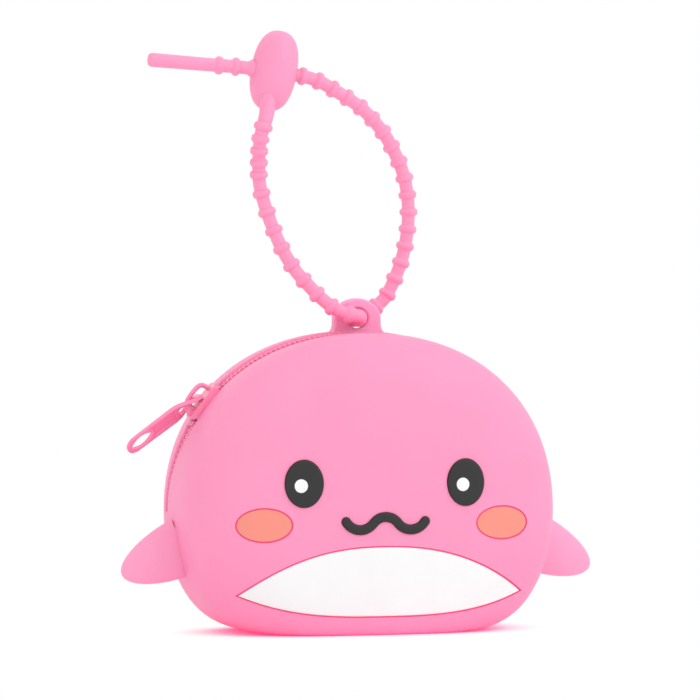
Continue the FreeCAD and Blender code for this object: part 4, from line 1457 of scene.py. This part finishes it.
def strap_bead():
    """The bean-shaped bead, with a bore for the strap's tail."""
    bm = bmesh.new()
    bmesh.ops.create_uvsphere(bm, u_segments=BEAD_SIDES, v_segments=BEAD_RINGS, radius=1)
    for vert in bm.verts:
        across = math.hypot(vert.co.x, vert.co.y)
        grow = (across ** BEAD_POWER + abs(vert.co.z) ** BEAD_POWER) ** (-1 / BEAD_POWER)
        vert.co *= grow
        vert.co = Vector((vert.co.x * BEAD_RADIUS, vert.co.y * BEAD_RADIUS, vert.co.z * BEAD_HALF_LENGTH))
    lean = Matrix.Rotation(math.radians(BEAD_LEAN), 3, "Y")
    bmesh.ops.rotate(bm, cent=(0, 0, 0), matrix=lean, verts=bm.verts)
    bmesh.ops.translate(bm, vec=BEAD_CENTRE, verts=bm.verts)
    piece = mesh_object(bm, "strap_knob", ROUND_SHARP)
    bore = bmesh.new()
    lengthways = Matrix.Rotation(math.radians(90 - BORE_RISE), 4, "Y")
    bmesh.ops.create_cone(
        bore, cap_ends=True, segments=BORE_SIDES, radius1=BEAD_BORE, radius2=BEAD_BORE,
        depth=4 * BEAD_RADIUS, matrix=Matrix.Translation(BEAD_CENTRE) @ lengthways.inverted())
    carved(piece, [mesh_object(bore, "knob_bore", ROUND_SHARP)])
    piece.data.set_sharp_from_angle(angle=math.radians(BORE_SHARP))
    rounded(piece, BORE_ROUND, 3, BORE_SHARP, hard=False)
    dress(piece, STRAP_PINK, "pink_silicone", "strap_bead")
    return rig.ride(piece, "strap")


# Stage, light and camera

def camera():
    azimuth = math.radians(VIEW_AZIMUTH)
    elevation = math.radians(VIEW_ELEVATION)
    back = Vector((
        math.sin(azimuth) * math.cos(elevation), -math.cos(azimuth) * math.cos(elevation),
        math.sin(elevation)))
    turn = (-back).to_track_quat("-Z", "Y")
    target = turn @ Vector((VIEW_SHIFT[0], VIEW_SHIFT[1], 0))
    data = bpy.data.cameras.new("camera")
    data.sensor_width = SENSOR
    data.lens = SENSOR * VIEW_DISTANCE / VIEW_WIDTH
    data.clip_start = 0.05
    data.clip_end = 50
    eye = bpy.data.objects.new("camera", data)
    eye.rotation_mode = "QUATERNION"
    eye.rotation_quaternion = turn
    eye.location = (target + back * VIEW_DISTANCE) * MM
    bpy.context.scene.collection.objects.link(eye)
    bpy.context.scene.camera = eye


def seen_ray(material):
    """1 for rays that show the stage itself: to the camera, in a reflection or through glass."""
    path = material.node_tree.nodes.new("ShaderNodeLightPath")
    seen = path.outputs["Is Camera Ray"]
    for other in ("Is Glossy Ray", "Is Transmission Ray"):
        joined = add_node(material, "ShaderNodeMath", {}, {0: seen, 1: path.outputs[other]})
        joined.operation = "MAXIMUM"
        seen = joined.outputs[0]
    return seen


# Half sizes of the purse's footprint, and the lamps as name, place, size and power, in metres and watts
FOOTPRINT = (0.037, 0.022)
FLOOR_NEAR = 1.0            # in footprints from the middle
FLOOR_FAR = 1.45
FLOOR_HALF = 4000.0
FLOOR_COLOUR = (0.97, 0.965, 0.965, 1)
PAINTED_FLOOR_GLOW = (0.4, 0.045, 0.12, 1)  # painted light: a pink glow on the floor near the purse, for light that the pink silicone lets through
WORLD_LIGHT = 0.965
LAMPS = (("key", (0.75, -0.75, 0.85), 0.7, 3.2), ("top", (0.1, 0.1, 1.2), 0.9, 0.9))


def floor():
    """A pale floor that keeps the shadow near the object, glows pink near it as painted light, and is plain white
    further off.
    """
    bm = bmesh.new()
    bmesh.ops.create_grid(bm, x_segments=2, y_segments=2, size=FLOOR_HALF)
    piece = mesh_object(bm, "floor", PLATE_SHARP)
    material, shader, place = new_material("floor")
    nodes = material.node_tree.nodes
    links = material.node_tree.links
    set_inputs(shader, {
        "Base Color": FLOOR_COLOUR, "Roughness": 0.9, "Specular IOR Level": 0.0,
        "Emission Color": PAINTED_FLOOR_GLOW})
    white = nodes.new("ShaderNodeEmission")
    spread = add_node(
        material, "ShaderNodeVectorMath", {1: (1 / FOOTPRINT[0], 1 / FOOTPRINT[1], 0)}, {0: place})
    spread.operation = "MULTIPLY"
    away = add_node(material, "ShaderNodeVectorMath", {}, {0: spread.outputs["Vector"]})
    away.operation = "LENGTH"
    fade = add_node(
        material, "ShaderNodeMapRange", {"From Min": FLOOR_NEAR, "From Max": FLOOR_FAR},
        {"Value": away.outputs["Value"]})
    fade.interpolation_type = "SMOOTHSTEP"
    # Painted light: the pink glow is full near the purse and fades out with the shadow.
    links.new(add_range(material, fade.outputs["Result"], 1.0, 0.0), shader.inputs["Emission Strength"])
    share = add_node(
        material, "ShaderNodeMath", {}, {0: fade.outputs["Result"], 1: seen_ray(material)})
    share.operation = "MULTIPLY"
    mix = add_node(
        material, "ShaderNodeMixShader", {},
        {"Fac": share.outputs[0], 1: shader.outputs["BSDF"], 2: white.outputs["Emission"]})
    links.new(mix.outputs["Shader"], nodes["Material Output"].inputs["Surface"])
    piece.data.materials.append(material)
    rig.stage(piece)


def world():
    """Even white light all round, seen as plain white."""
    light = bpy.data.worlds.new("studio")
    light.use_nodes = True
    background = light.node_tree.nodes["Background"]
    background.inputs["Color"].default_value = (1, 1, 1, 1)
    strength = add_range(light, seen_ray(light), WORLD_LIGHT, 1.0)
    light.node_tree.links.new(strength, background.inputs["Strength"])
    bpy.context.scene.world = light


def softbox(name, place, size, power):
    """A square lamp that faces the object."""
    data = bpy.data.lights.new(name, "AREA")
    data.size = size
    data.energy = power
    lamp = bpy.data.objects.new(name, data)
    lamp.location = place
    lamp.rotation_mode = "QUATERNION"
    lamp.rotation_quaternion = (BODY_CENTRE * MM - Vector(place)).to_track_quat("-Z", "Y")
    bpy.context.scene.collection.objects.link(lamp)


def studio():
    world()
    floor()
    for lamp in LAMPS:
        softbox(*lamp)
    bpy.context.scene.view_settings.view_transform = "Standard"


camera()
cord, cord_line, cord_length = strap()
bead = strap_bead()
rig.cord(
    cord, exit=cord_line[0], length=cord_length, diameter=2 * STRAP_CORE * MM, far_end="bare",
    stiffness="medium", lay="loose", with_pieces=[bead], path=cord_line)
front_skin(face())
rear_skin()
zip_closure()
for fin_name, fin_side in (("left", -1), ("right", 1)):
    fin(fin_name, fin_side)
strap_lug()
studio()

with open("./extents.json", "w") as size_file:
    boxes = {"cad": CAD_BOX, "visual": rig.bounds()}
    json.dump({key: [list(corner) for corner in box] for key, box in boxes.items()}, size_file)
